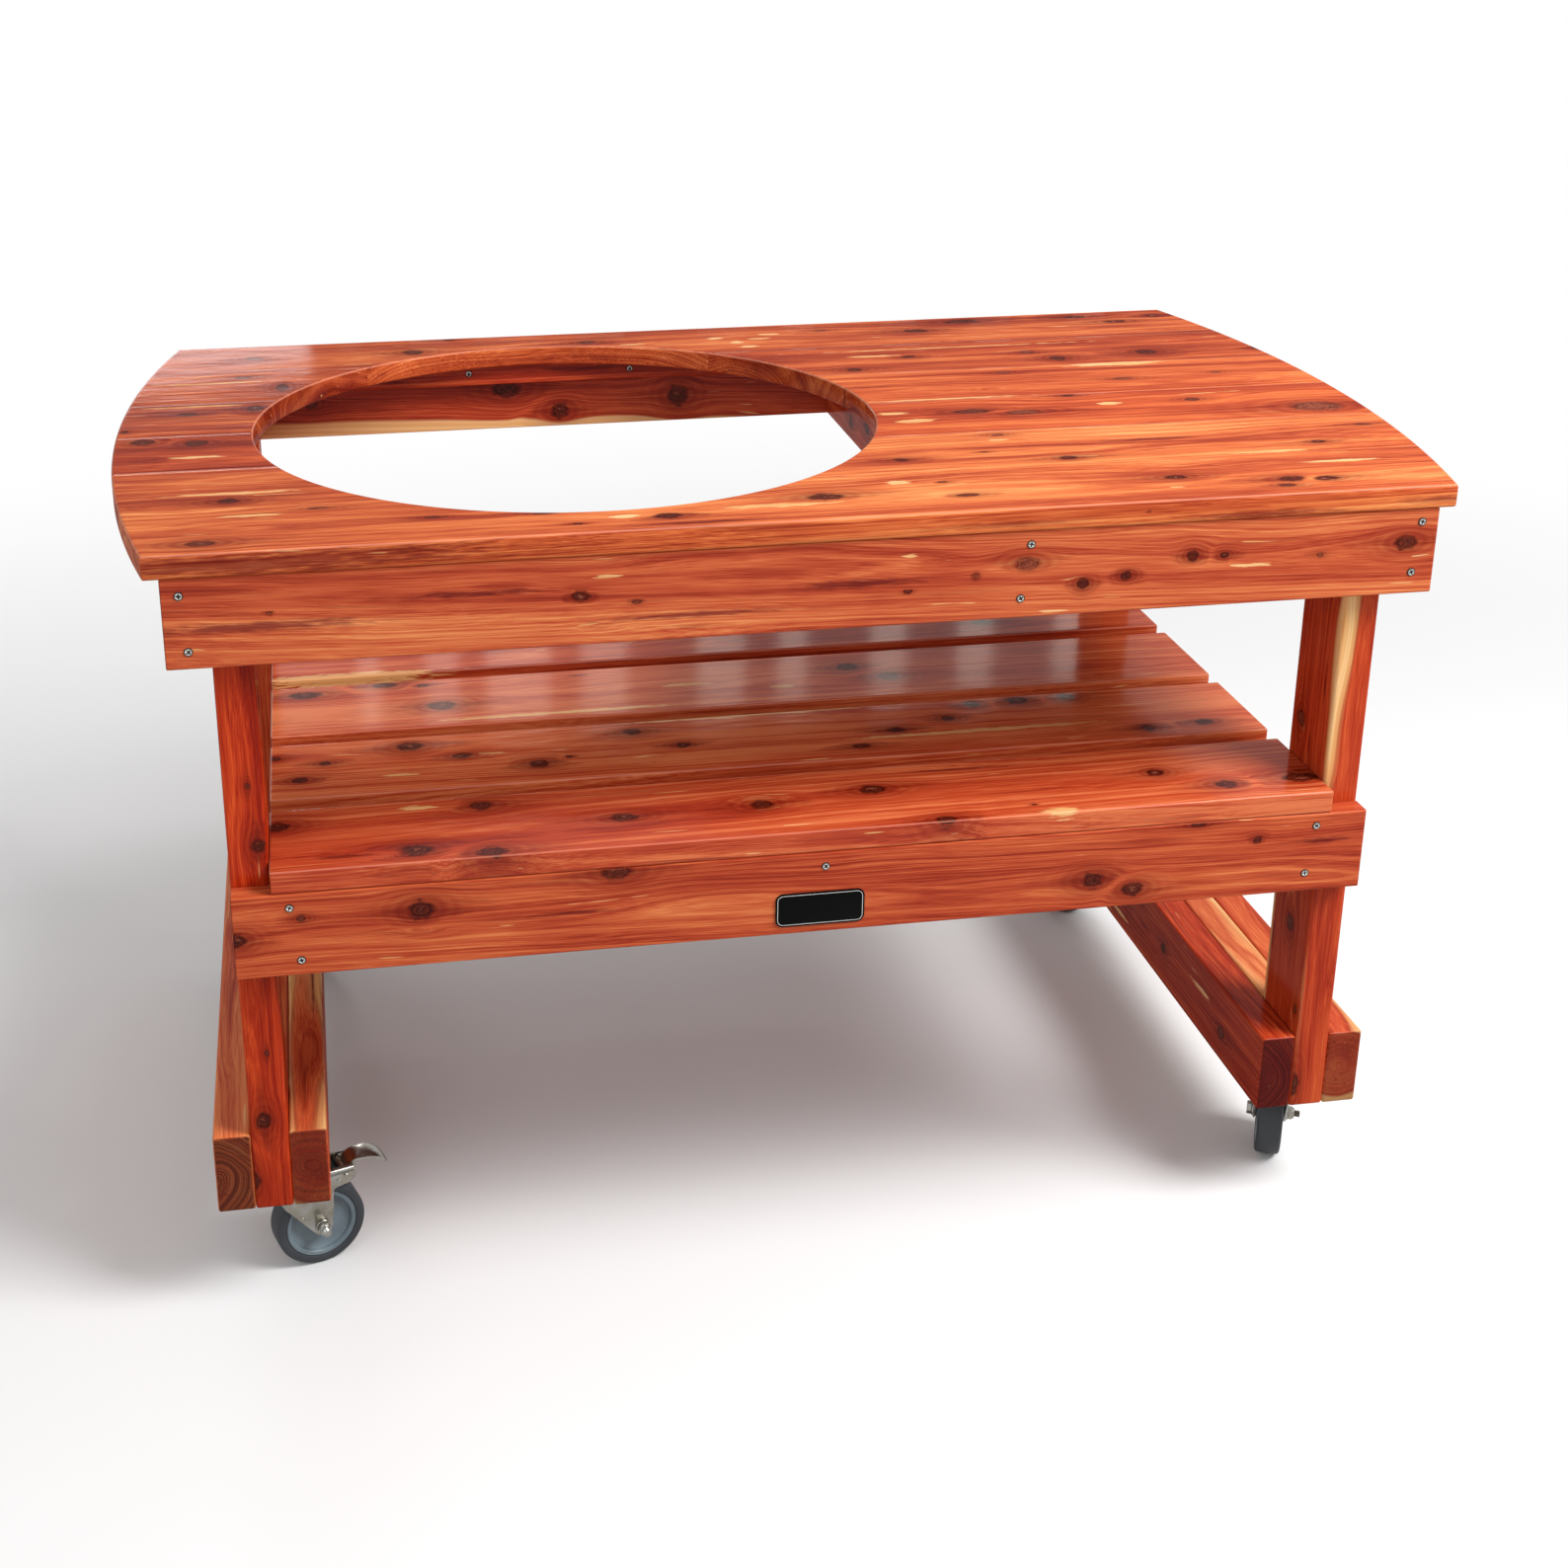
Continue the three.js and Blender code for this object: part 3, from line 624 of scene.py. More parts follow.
def mark_faces(mesh, axes, places, marks, edge_marks, end_stain):
    """Gives each corner its place from the nearest mark, that mark's size, and its face's side.

    A narrow side takes its own marks if it has any, or else the wide side's, tapered downwards.
    """
    corner = places[read_values(mesh.loops, "vertex_index", 1, int)]
    corner_counts = read_values(mesh.polygons, "loop_total", 1, int)
    owner = np.repeat(np.arange(len(corner_counts)), corner_counts)
    facing = np.abs(read_values(mesh.polygons, "normal", 3)[:, axes])[owner]
    narrow = facing[:, 1] > NARROW_FACING
    place, size = np.zeros((len(corner), 3)), np.zeros((len(corner), 3))
    for on_narrow in (False, True):
        chosen = narrow == on_narrow
        own_marks = on_narrow and bool(edge_marks)
        seen = corner[:, [0, 2]] if own_marks else corner[:, :2]
        table = edge_marks if own_marks else marks
        place[chosen], size[chosen] = nearest_marks(seen[chosen], owner[chosen], table)
        if on_narrow and not own_marks:
            below = KNOT_TAPER * (places[:, 2].max() - corner[chosen, 2])
            place[chosen, 1] += np.sign(place[chosen, 1]) * below
    write_vectors(mesh, "mark", "CORNER", place)
    write_vectors(mesh, "mark_size", "CORNER", size)
    turned = narrow * bool(edge_marks)
    end = np.interp(facing[:, 0], END_FACING, (0, end_stain))
    write_vectors(mesh, "side", "CORNER", np.c_[end, 1 - turned, turned])


def mark_grain(mesh, axes, marks, edge_marks, look, end_stain):
    """Gives a board its place in the log and its looks, and marks its faces."""
    pith_across, pith_through, tone, redness, sapwood, shift, slope = look
    places = read_values(mesh.vertices, "co", 3)[:, axes] / MM
    middle = (places.min(axis=0) + places.max(axis=0)) / 2 * (0, 1, 1)
    grain = places - middle + (shift, pith_across, pith_through)
    grain[:, 1] += slope * places[:, 0]
    write_vectors(mesh, "grain", "POINT", grain)
    write_vectors(mesh, "board", "POINT", np.tile([tone, redness, sapwood], (len(places), 1)))
    mark_faces(mesh, axes, places, marks, edge_marks, end_stain)


# Marks of the tabletop, across from the frame's front face
TOP_MARKS = [
    (-584, 25, 15, 9, 0.8), (-370, 67, 8, 4, 0.8), (-264, 62, 10, 4, 0.8), (-148, 33, 14, 9, 0.95),
    (-236, 23, 5, 3, 0.9), (12, 65, 18, 11, 0.85), (150, 47, 12, 5, 0.8), (138, 93, 5, 3, 0.8),
    (372, 69, 12, 7, 0.9), (484, 43, 16, 9, 0.95), (516, 40, 14, 8, 0.95), (470, 24, 10, 6, 0.8),
    (-540, 103, 32, 4, -1), (94, 99, 14, 6, -1), (-40, 47, 62, 6, -1), (-190, 38, 17, 5, -1),
    (362, 36, 9, 3, -1), (560, 95, 44, 4, -1), (-120, 8, 90, 5, -2), (-476, 115, 10, 4, 0.7),
    (-562, 153, 12, 9, 0.95), (118, 175, 9, 6, 1.0), (290, 153, 10, 6, 1.0),
    (568, 165, 9, 5, 1.0), (244, 249, 7, 5, 0.7), (644, 221, 12, 4, 0.8), (400, 205, 75, 6, -2),
    (508, 138, 46, 4, -1), (240, 230, 12, 3, -1), (210, 189, 5, 2, 0.9), (-560, 178, 70, 4, -1),
    (-656, 379, 13, 12, 0.85), (-600, 367, 13, 11, 0.85), (628, 300, 30, 22, 0.6),
    (504, 353, 9, 6, 0.8), (244, 346, 22, 11, 0.8), (300, 334, 20, 9, 0.7), (372, 393, 9, 5, 0.9),
    (-596, 313, 30, 4, -1), (155, 352, 20, 5, -1), (172, 318, 24, 7, -1), (405, 352, 16, 6, -1),
    (-678, 425, 4, 5, 0.9), (-614, 487, 11, 6, 0.9), (-540, 500, 9, 15, 0.9), (460, 457, 11, 5, 0.7),
    (580, 467, 7, 4, 0.6), (332, 509, 9, 5, 0.7), (476, 526, 60, 9, -1), (-600, 519, 75, 3, -1),
    (232, 404, 95, 3, -1), (150, 470, 60, 4, -2),
    (536, 577, 13, 12, 1.0), (418, 565, 10, 11, 0.9), (392, 601, 9, 6, 0.8), (242, 605, 10, 7, 0.9),
    (162, 553, 10, 8, 0.9), (676, 573, 6, 8, 0.9), (-510, 590, 8, 20, 0.85), (-556, 643, 10, 6, 0.8),
    (-590, 622, 75, 3, -1), (200, 614, 32, 4, -1), (300, 643, 190, 2, -1),
    (-544, 737, 11, 8, 0.7), (-352, 735, 13, 11, 0.85), (-304, 792, 9, 4, 0.9), (-134, 749, 12, 7, 0.9),
    (288, 737, 16, 9, 0.9), (360, 777, 24, 11, 0.9), (512, 777, 18, 7, 0.9), (556, 743, 16, 7, 0.9),
    (616, 767, 9, 6, 0.9), (168, 760, 8, 5, 0.7), (28, 742, 12, 5, -1), (52, 716, 9, 7, -1),
    (84, 731, 14, 4, -1), (98, 752, 16, 4, -1), (62, 692, 12, 5, -1), (-78, 728, 20, 3, -1),
]

# Marks of the aprons, rails and shelf boards: along x, and across by height or from the front face
FRAME_MARKS = {
    "front_apron": [
        (-238, 781, 9, 6, 1.0), (-526, 782, 4, 3, 0.8), (-184, 772, 5, 3, 0.8), (147, 777, 6, 5, 1.0),
        (198, 787, 13, 8, 0.65), (256, 763, 6, 6, 1.0), (300, 769, 6, 5, 1.0), (367, 785, 6, 6, 1.0),
        (400, 784, 5, 4, 1.0), (500, 778, 4, 3, 0.7), (590, 786, 12, 8, 0.85), (80, 766, 5, 3, 0.9),
        (-212, 799, 14, 2, -1), (430, 772, 26, 2, -1), (82, 802, 9, 2, -1), (-545, 770, 140, 7, -2),
        (30, 777, 80, 6, -2), (-130, 756, 110, 4, -2), (-340, 790, 90, 4, -2),
    ],
    "back_apron": [
        (-235, 784, 18, 13, 0.9), (-166, 751, 12, 11, 0.95), (-14, 765, 13, 14, 0.85),
        (300, 770, 10, 8, 0.9), (-480, 775, 9, 7, 0.8), (520, 790, 12, 9, 0.9),
    ],
    "back_cleat": [(-140, 812, 90, 3, -2), (-400, 804, 70, 3, -2)],
    "front_rail": [
        (-400, 465, 13, 11, 0.95), (-579, 446, 9, 8, 1.0), (-516, 466, 5, 4, 0.8),
        (-206, 490, 16, 10, 0.85), (288, 437, 12, 9, 1.0), (331, 423, 11, 8, 0.95),
        (464, 467, 5, 5, 0.95), (398, 491, 9, 3, 1.0), (536, 462, 42, 4, -2), (-250, 448, 60, 3, -2),
    ],
    "shelf_board_1": [
        (-536, 100, 12, 11, 0.95), (-330, 116, 14, 11, 0.85), (-190, 64, 14, 9, 0.95),
        (-46, 70, 12, 10, 0.9), (74, 86, 14, 10, 0.95), (-402, 26, 18, 12, 1.0),
        (-328, 10, 15, 11, 1.0), (378, 76, 9, 9, 0.95), (440, 36, 12, 9, 1.0), (524, 40, 20, 13, 0.9),
        (130, 5, 12, 7, 0.9), (228, 22, 3, 2, 0.9), (250, 4, 20, 7, -1), (-394, 122, 20, 6, -1),
        (-470, 24, 40, 5, -2), (180, 120, 80, 3, -2),
    ],
    "shelf_board_2": [
        (-394, 278, 14, 12, 0.95), (-340, 244, 10, 7, 0.9), (-486, 249, 7, 6, 0.9),
        (-512, 210, 9, 8, 0.9), (-260, 210, 11, 10, 0.9), (-226, 222, 4, 3, 0.9),
        (-150, 276, 11, 9, 0.9), (-100, 232, 8, 7, 1.0), (138, 232, 12, 8, 0.95), (90, 196, 10, 6, 0.95),
        (204, 254, 8, 8, 0.85), (242, 288, 9, 10, 0.9), (296, 290, 12, 11, 1.0), (354, 290, 10, 10, 0.9),
        (414, 190, 9, 9, 0.95), (482, 196, 11, 8, 0.95), (-538, 270, 6, 6, 0.9), (230, 216, 150, 5, -1),
        (-26, 302, 140, 5, -1), (-410, 206, 22, 3, -1),
    ],
    "shelf_board_3": [
        (-506, 444, 18, 11, 0.9), (-414, 460, 15, 9, 0.9), (-352, 388, 16, 14, 0.85),
        (-370, 452, 7, 5, 0.9), (130, 424, 13, 11, 0.85), (170, 388, 12, 12, 0.8),
        (-68, 402, 34, 4, -1), (42, 378, 16, 6, -1), (-220, 345, 150, 4, -1), (-186, 452, 20, 3, -2),
    ],
    "shelf_board_4": [
        (-455, 497, 120, 10, -1), (-280, 560, 13, 10, 0.9), (60, 600, 11, 9, 0.9), (330, 540, 12, 9, 0.9),
    ],
}

# Marks on narrow faces: along the board first, then across its narrow side
NARROW_MARKS = {
    "top_plank_front": [
        (-540, 833, 300, 16, -2), (318, 834, 4, 2.5, 0.65), (180, 829, 120, 4, -2),
        (430, 826, 100, 5, -2), (620, 830, 60, 5, -2),
    ],
    "leg_front_left": [
        (599, -558.6, 4, 3, 0.8), (536, -552.5, 9, 7, 1.0), (227, -567.5, 10, 8, 1.0),
        (156, -583, 12, 7, 1.0), (305, -560, 4, 3, 0.8), (430, -549, 40, 3, -2),
    ],
    "leg_front_right": [(150, 547, 14, 6, 0.85)],
    "foot_beam_left_inner": [(240, -522, 5, 4, 0.8), (-60, -516, 120, 2, -2)],
}

# How each board was sawn: the log's middle from the board's, across and through, then how light
# and how red it is
BOARD_LOOKS = {
    "top_plank_front": (12, 62, 0.02, 0), "top_plank_2_left": (-30, 48, -0.04, 0),
    "top_plank_2_right": (24, 66, 0.09, 0), "top_plank_3_left": (20, 55, -0.18, 0.3),
    "top_plank_3_right": (-18, 70, -0.05, 0.3), "top_plank_4_left": (34, 50, -0.2, 0),
    "top_plank_4_right": (28, 58, -0.02, 0.2), "top_plank_5_left": (-22, 52, -0.14, 0),
    "top_plank_5_right": (-32, 60, -0.11, 0.1), "top_plank_back": (16, 64, -0.14, 0),
    "front_apron": (-14, 46, 0.05, 0), "front_rail": (18, 40, 0.02, 0.2),
    "back_apron": (-30, 30, -0.12, 0.3), "back_rail": (-20, 45, 0.0, 0.2),
    "back_cleat": (-20, 50, -0.12, 0.5),
    "foot_beam_right_outer": (-2, 4, 0.06, 0.3), "foot_beam_left_inner": (-2, -3, 0.1, 0.4),
    "leg_front_right": (0, -10, 0.0, 0.7), "leg_front_left": (-22, 30, -0.08, 1),
    # The left outer foot beam's raised lightness is painted light, standing in for sun on its top
    "foot_beam_left_outer": (14, 26, 0.4, 0.3), "foot_beam_right_inner": (6, 30, -0.12, 0.6),
    "shelf_board_1": (10, 44, 0.27, 0.1), "shelf_board_2": (-24, 40, 0.36, 0),
    "shelf_board_3": (22, 48, 0.24, 0), "shelf_board_4": (36, 34, 0.1, 0),
    "foot_filler_left": (-14, 30, 0.15, 0.2), "foot_filler_right": (0, 8, 0.1, 0),
}

# The radius in the log where sapwood starts, on boards that have any
SAPWOOD_RADII = {
    "back_apron": 73, "foot_beam_right_outer": 43, "foot_beam_left_inner": 43.9,
    "leg_front_right": 49.3, "foot_filler_right": 45.6,
}
NO_SAPWOOD = 400
LOG_SLOPES = {
    "back_apron": 0.04, "front_apron": 0.03, "front_rail": 0.025, "shelf_board_1": -0.02,
    "shelf_board_2": 0.015, "top_plank_front": 0.012, "top_plank_2_right": -0.015,
    "top_plank_4_right": 0.015,
}
TOP_END_STAIN = 0.3
END_STAIN = 0.84
END_STAINS = {
    "foot_beam_left_outer": 0.86, "foot_beam_left_inner": 0.74,
    "foot_beam_right_outer": 0.5, "foot_beam_right_inner": 0.88,
}
FILLER_SEAT = 0.3
LOG_SHIFT = 1700.0

# Boards and marks that the photograph doesn't show are left to chance within these bounds
BOARD_SEED = 7
FILLER_SEED = 11
HIDDEN_PITH_ACROSS = (-30, 30)
HIDDEN_PITH_THROUGH = (25, 60)
HIDDEN_TONES = (-0.12, 0.08)
HIDDEN_REDNESS = 0.3
HIDDEN_KNOTS = 5
HIDDEN_KNOT_RADII = (4, 10)
HIDDEN_KNOT_MARGIN_SHARE = 1.6
HIDDEN_KNOT_SHIFT_SHARES = (-0.35, 0.35)
HIDDEN_KNOT_LENGTH_SHARES = (1, 1.4)
HIDDEN_KNOT_DEPTHS = (0.7, 1)
HIDDEN_MARK_SIZE = (30, 3)


def chance_marks(rng, low, high):
    """Knots and flecks for a board that the photograph doesn't show, spaced out along it."""
    places = np.linspace(low[0], high[0], HIDDEN_KNOTS + 2)[1:-1]
    step = places[1] - places[0]
    centre, half = (low[1] + high[1]) / 2, (high[1] - low[1]) / 2
    marks = []
    for place in places:
        radius = rng.uniform(*HIDDEN_KNOT_RADII)
        across = rng.uniform(-1, 1) * (half - HIDDEN_KNOT_MARGIN_SHARE * radius)
        along = place + rng.uniform(*HIDDEN_KNOT_SHIFT_SHARES) * step
        size = (radius * rng.uniform(*HIDDEN_KNOT_LENGTH_SHARES), radius)
        marks.append((along, centre + across, *size, rng.uniform(*HIDDEN_KNOT_DEPTHS)))
        marks.append((along + step / 2, centre - across, *HIDDEN_MARK_SIZE, rng.choice([-1, -2])))
    return marks


def full_look(board, chosen, log_place):
    """A board's looks and its place in the log, given under its name or else as chosen."""
    sapwood = SAPWOOD_RADII.get(board, NO_SAPWOOD)
    return (*BOARD_LOOKS.get(board, chosen), sapwood, LOG_SHIFT * log_place, LOG_SLOPES.get(board, 0.0))


def top_board(node, low, high):
    """A plank of the tabletop, its axes, and the marks that lie on it."""
    side = -1 if node.endswith(("left", "front")) else 1
    mesh, axes = plank_mesh(node, side, node.endswith(("front", "back")))
    marks = [(along, across + FRONT_FACE, *size) for along, across, *size in TOP_MARKS]
    return mesh, axes, [m for m in marks if low[0] < m[0] < high[0] and low[1] < m[1] < high[1]]


def frame_board(node, low, high, rng):
    """A board under the top, its axes, and its marks, left to chance where none are listed."""
    on_shelf = node.startswith("shelf_board")
    thin = (high - low).min() < STUD_THICK - 1
    ease = SHELF_EASE if on_shelf else (BOARD_EASE if thin else STUD_EASE)
    cell = FINE_CELL if node in FRAME_MARKS or node in BOARD_LOOKS else COARSE_CELL
    mesh, axes = timber_mesh("cedar_" + node, low, high, ease, cell)
    marks = FRAME_MARKS.get(node) or chance_marks(rng, low[axes], high[axes])
    if on_shelf and node in FRAME_MARKS:
        marks = [(along, across + FRONT_FACE, *size) for along, across, *size in marks]
    return mesh, axes, marks


def add_boards(materials):
    """All the timber of the frame's nodes, each board with its own piece of log."""
    rng = np.random.default_rng(BOARD_SEED)
    names = [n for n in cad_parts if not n.startswith("caster") and n != "nameplate"]
    for index, node in enumerate(sorted(names)):
        low, high = node_box(node)
        bounds = (HIDDEN_PITH_ACROSS, HIDDEN_PITH_THROUGH, HIDDEN_TONES)
        chosen = (*[rng.uniform(*ends) for ends in bounds], HIDDEN_REDNESS)
        if node.startswith("top_plank"):
            slot, end_stain = "cedar_top", TOP_END_STAIN
            mesh, axes, marks = top_board(node, low, high)
        else:
            slot = "cedar_shelf" if node.startswith("shelf_board") else "cedar_frame"
            end_stain = END_STAINS.get(node, END_STAIN)
            mesh, axes, marks = frame_board(node, low, high, rng)
        look = full_look(node, chosen, index + 1)
        mark_grain(mesh, axes, marks, NARROW_MARKS.get(node), look, end_stain)
        add_piece(mesh, materials[slot], "table", (node,))


def add_foot_fillers(cedar_frame):
    """The middle board of each foot, which lies between its two beams from leg to leg."""
    rng = np.random.default_rng(FILLER_SEED)
    for index, side in enumerate(("left", "right")):
        front_low, front_high = node_box(f"leg_front_{side}")
        back_low, _ = node_box(f"leg_back_{side}")
        _, beam_high = node_box(f"foot_beam_{side}_inner")
        low = np.array([front_low[0], front_high[1] + FILLER_SEAT, front_low[2]])
        high = np.array([front_high[0], back_low[1] - FILLER_SEAT, beam_high[2]])
        mesh, axes = timber_mesh(f"cedar_foot_filler_{side}", low, high, STUD_EASE, FINE_CELL)
        look = full_look(f"foot_filler_{side}", None, -index - 1)
        mark_grain(mesh, axes, chance_marks(rng, low[axes], high[axes]), None, look, END_STAIN)
        add_piece(mesh, cedar_frame, "table")


# Metal and rubber
def ring_steps(values, centre, radius, start, stop, count):
    """Adds an arc of points about a centre to a list, its angles in degrees."""
    for angle in np.radians(np.linspace(start, stop, count)):
        values.append((centre[0] + radius * math.cos(angle), centre[1] + radius * math.sin(angle)))


def lathe(profile, steps, closed=False):
    """A shape turned about z from (radius, height) points, with flat discs at an open profile's ends."""
    profile = np.asarray(profile, float)
    turn = np.linspace(0, 2 * math.pi, steps, endpoint=False)[:, None]
    radius, height = profile[None, :, 0], profile[None, :, 1]
    points = np.stack([radius * np.cos(turn), radius * np.sin(turn), height + 0 * turn], axis=-1)
    count = len(profile)
    quads = grid_quads(steps, count, wrap_rows=True, wrap_columns=closed)
    ends = np.arange(steps) * count
    rims = [] if closed else [ends[::-1], ends + count - 1]
    return outward(points, quads, rims)


def drawn_in(outline, inset):
    """A closed outline moved inwards, its corners mitred."""
    outline = np.asarray(outline, float)
    ahead = np.roll(outline, -1, axis=0) - outline
    ahead /= np.linalg.norm(ahead, axis=1)[:, None]
    area = np.cross(outline, np.roll(outline, -1, axis=0)).sum()
    out = np.c_[ahead[:, 1], -ahead[:, 0]] * np.sign(area)
    both = out + np.roll(out, 1, axis=0)
    return outline - inset * both / (1 + (out * np.roll(out, 1, axis=0)).sum(axis=1))[:, None]


def sheet(outline, near, far, ease):
    """A flat sheet from z = near to z = far with the given outline, its edges rounded over."""
    turn = np.radians([0, 45, 90])
    inset = np.r_[ease * (1 - np.sin(turn)), ease * (1 - np.sin(turn[::-1]))]
    height = np.r_[near + ease * (1 - np.cos(turn)), far - ease * (1 - np.cos(turn[::-1]))]
    layers = [np.c_[drawn_in(outline, i), np.full(len(outline), h)] for i, h in zip(inset, height)]
    return capped_tube(np.stack(layers))


def turned_to(shape, order, shift=(0, 0, 0)):
    """A shape with its axes swapped into the given order, then shifted."""
    return outward(shape[0][:, order] + shift, shape[1], shape[2])


SIDEWAYS = [0, 2, 1]
ENDWAYS = [2, 0, 1]


def turn_matrix(turn):
    """The matrix that turns rows of points about z by an angle in radians."""
    cosine, sine = math.cos(turn), math.sin(turn)
    return np.array([[cosine, sine, 0], [-sine, cosine, 0], [0, 0, 1]])


def hexagon(radius, low, high, chamfer=0.8):
    """A hexagon nut or head that stands on z, its corners taken off at both ends."""
    profile = [(radius - chamfer, low), (radius, low + 0.6), (radius, high - 0.6), (radius - chamfer, high)]
    return lathe(profile, 6)


def rounded_outline(length, width, radius, steps=5):
    """A rectangle about the origin with its four corners rounded."""
    outline = []
    for k, (sx, sy) in enumerate([(1, 1), (-1, 1), (-1, -1), (1, -1)]):
        centre = (sx * (length / 2 - radius), sy * (width / 2 - radius))
        ring_steps(outline, centre, radius, 90 * k, 90 * k + 90, steps)
    return outline


def screw_head(radius, rise):
    """A pan head with a cross recess: a dome over rings of points, sunk where the cross runs.

    Each point also gets its share of painted shade and grime, darkest in the cross and at the rim.
    """
    turns = np.linspace(0, 2 * math.pi, SCREW_STEPS, endpoint=False)[:, None]
    rings = radius * np.array([SCREW_RING_SHARES])
    x, y = rings * np.cos(turns), rings * np.sin(turns)
    dome = rise * np.sqrt(1 - (rings / radius) ** 2 * SCREW_DOME_SHARE) + 0 * turns
    arm = np.minimum(np.abs(x), np.abs(y)) < CROSS_HALF_WIDTH_SHARE * radius
    sunk = arm & (np.maximum(np.abs(x), np.abs(y)) < CROSS_REACH_SHARE * radius)
    height = np.where(sunk, dome - CROSS_DEPTH_SHARE * rise, dome)
    foot = np.full((len(turns), 1), -SCREW_SUNK)
    points = np.stack([np.c_[x, x[:, -1:]], np.c_[y, y[:, -1:]], np.c_[height, foot]], axis=-1)
    rows, columns = points.shape[:2]
    ends = np.arange(rows) * columns
    shade_and_grime = np.interp(rings / radius, RIM_SHADE_AND_GRIME_SHARES, (0, 1)) + 0 * turns
    shade_and_grime = np.c_[np.where(sunk, CROSS_SHADE_AND_GRIME, shade_and_grime), foot * 0 + 1]
    shape = outward(points, grid_quads(rows, columns, wrap_rows=True), [ends[::-1], ends + columns - 1])
    return shape, shade_and_grime.ravel()


def cheek_outline():
    """A side sheet of the fork, from the crown down round the axle and up to the brake housing."""
    outline = [(-15.2, -9.8), (-13.6, -15.5), (-11.1, -21.8), (-7.6, -30.6), (-3.3, -39.3)]
    ring_steps(outline, (TRAIL, -AXLE_DROP), 11, 225, 369, 13)
    return outline + [(50.3, -50.9), (50.9, -38), (51.8, -31.3), (56, -29.4), (70.3, -26.9),
                      (74.8, -23.6), (77.7, -19.6), (78.8, -14.5), (76.2, -9.8)]


def plate_shape():
    """Mounting plate, pressed race, king bolt with its nut, and four lag screw heads."""
    length, width, thick = PLATE_SIZE
    race = [(21.2, -8.0), (22.0, -7.7), (22.6, -6.6), (24.6, -4.2), (26.2, -3.1), (28.6, -2.5),
            (28.6, -1.2)]
    bolt = [(5.2, -21.1), (6.0, -20.3), (6.0, -1.2)]
    heads = []
    for sx in (-1, 1):
        for sy in (-1, 1):
            place = (sx * (length / 2 - PLATE_HOLE_EDGE), sy * (width / 2 - PLATE_HOLE_EDGE), 0)
            washer = lathe([(6.6, -3.5), (6.9, -3.3), (6.9, -2.4)], 24)
            heads.append(turned_to(joined(washer, hexagon(5.4, -7.0, -3.4)), [0, 1, 2], place))
    return joined(sheet(rounded_outline(length, width, PLATE_CORNER), -thick, 0, 0.5),
                  lathe(race, 48), lathe(bolt, 24), hexagon(10.4, -18.6, -11.6), *heads)


def fork_shape():
    """Crown with its lip, bridge, two bent side sheets, and the brake's housing edges and rivets."""
    outer = FORK_INNER + FORK_THICK
    under = CROWN_TOP - CROWN_THICK
    crown = [(6.4, under), (29.4, under), (30.0, under + 0.6), (30.0, -6.1), (29.4, -5.5), (28.2, -5.5),
             (27.6, -6.1), (27.6, CROWN_TOP), (6.4, CROWN_TOP)]
    bridge = [(12, -outer), (40.7, -outer + 2), (40.7, outer - 2), (12, outer)]
    bridge = sheet(bridge, under, CROWN_TOP, 0.5)
    parts = [lathe(crown, 56, closed=True), bridge]
    for sign in (-1, 1):
        near, far = sorted((sign * FORK_INNER, sign * outer))
        parts.append(turned_to(sheet(cheek_outline(), near, far, 0.6), SIDEWAYS))
        bend = [(sign * y, z) for y, z in [
            (18.5, -14.5), (18.5, -11.8), (18.1, -10.2), (17.0, -8.9), (15.4, -8.4), (13.6, -8.4),
            (13.6, -10.6), (15.0, -10.8), (15.9, -11.6), (16.1, -14.5)]]
        parts.append(turned_to(sheet(bend, *HOUSING_EDGE, 0.5), ENDWAYS))
        for x, z, size in FORK_RIVETS:
            rivet = [(size, outer - 0.4), (size, outer + 0.5), (size * 0.8, outer + 1.0), (1, outer + 1.2)]
            standing = lathe([(radius, sign * y) for radius, y in rivet], 20)
            parts.append(turned_to(standing, SIDEWAYS, (x, 0, z)))
    return joined(*parts)


def brake_shape():
    """Brake shoe over the tyre, its carrier and the two coils of its spring."""
    shoe, wheel = [], (TRAIL, -AXLE_DROP)
    ring_steps(shoe, wheel, WHEEL_RADIUS + SHOE_GAP, *SHOE_ANGLES, 8)
    ring_steps(shoe, wheel, WHEEL_RADIUS + SHOE_BACK, *SHOE_ANGLES[::-1], 8)
    parts = [turned_to(sheet(shoe, -SHOE_HALF_WIDTH, SHOE_HALF_WIDTH, 0.6), SIDEWAYS)]
    carrier = [(51.5, -23.5), (57.5, -24.5), (59.5, -16.0), (56.0, -12.6), (50.5, -13.0)]
    parts.append(turned_to(sheet(carrier, -CARRIER_HALF_WIDTH, CARRIER_HALF_WIDTH, 0.8), SIDEWAYS))
    turn = np.linspace(0, 2 * math.pi * SPRING_TURNS, 61)[:, None]
    tube = np.linspace(0, 2 * math.pi, 8, endpoint=False)[None]
    for sign in (-1, 1):
        reach = SPRING_RADIUS + SPRING_WIRE_RADIUS * np.cos(tube)
        x = PEDAL_PIVOT[0] + SPRING_FROM_PIVOT[0] + reach * np.cos(turn)
        z = PEDAL_PIVOT[1] + SPRING_FROM_PIVOT[1] + reach * np.sin(turn)
        wound = SPRING_FROM_MIDDLE + SPRING_LENGTH * turn / turn.max()
        y = sign * (wound + SPRING_WIRE_RADIUS * np.sin(tube)) + 0 * reach
        parts.append(capped_tube(np.stack([x, y, z], axis=-1)))
    return joined(*parts)


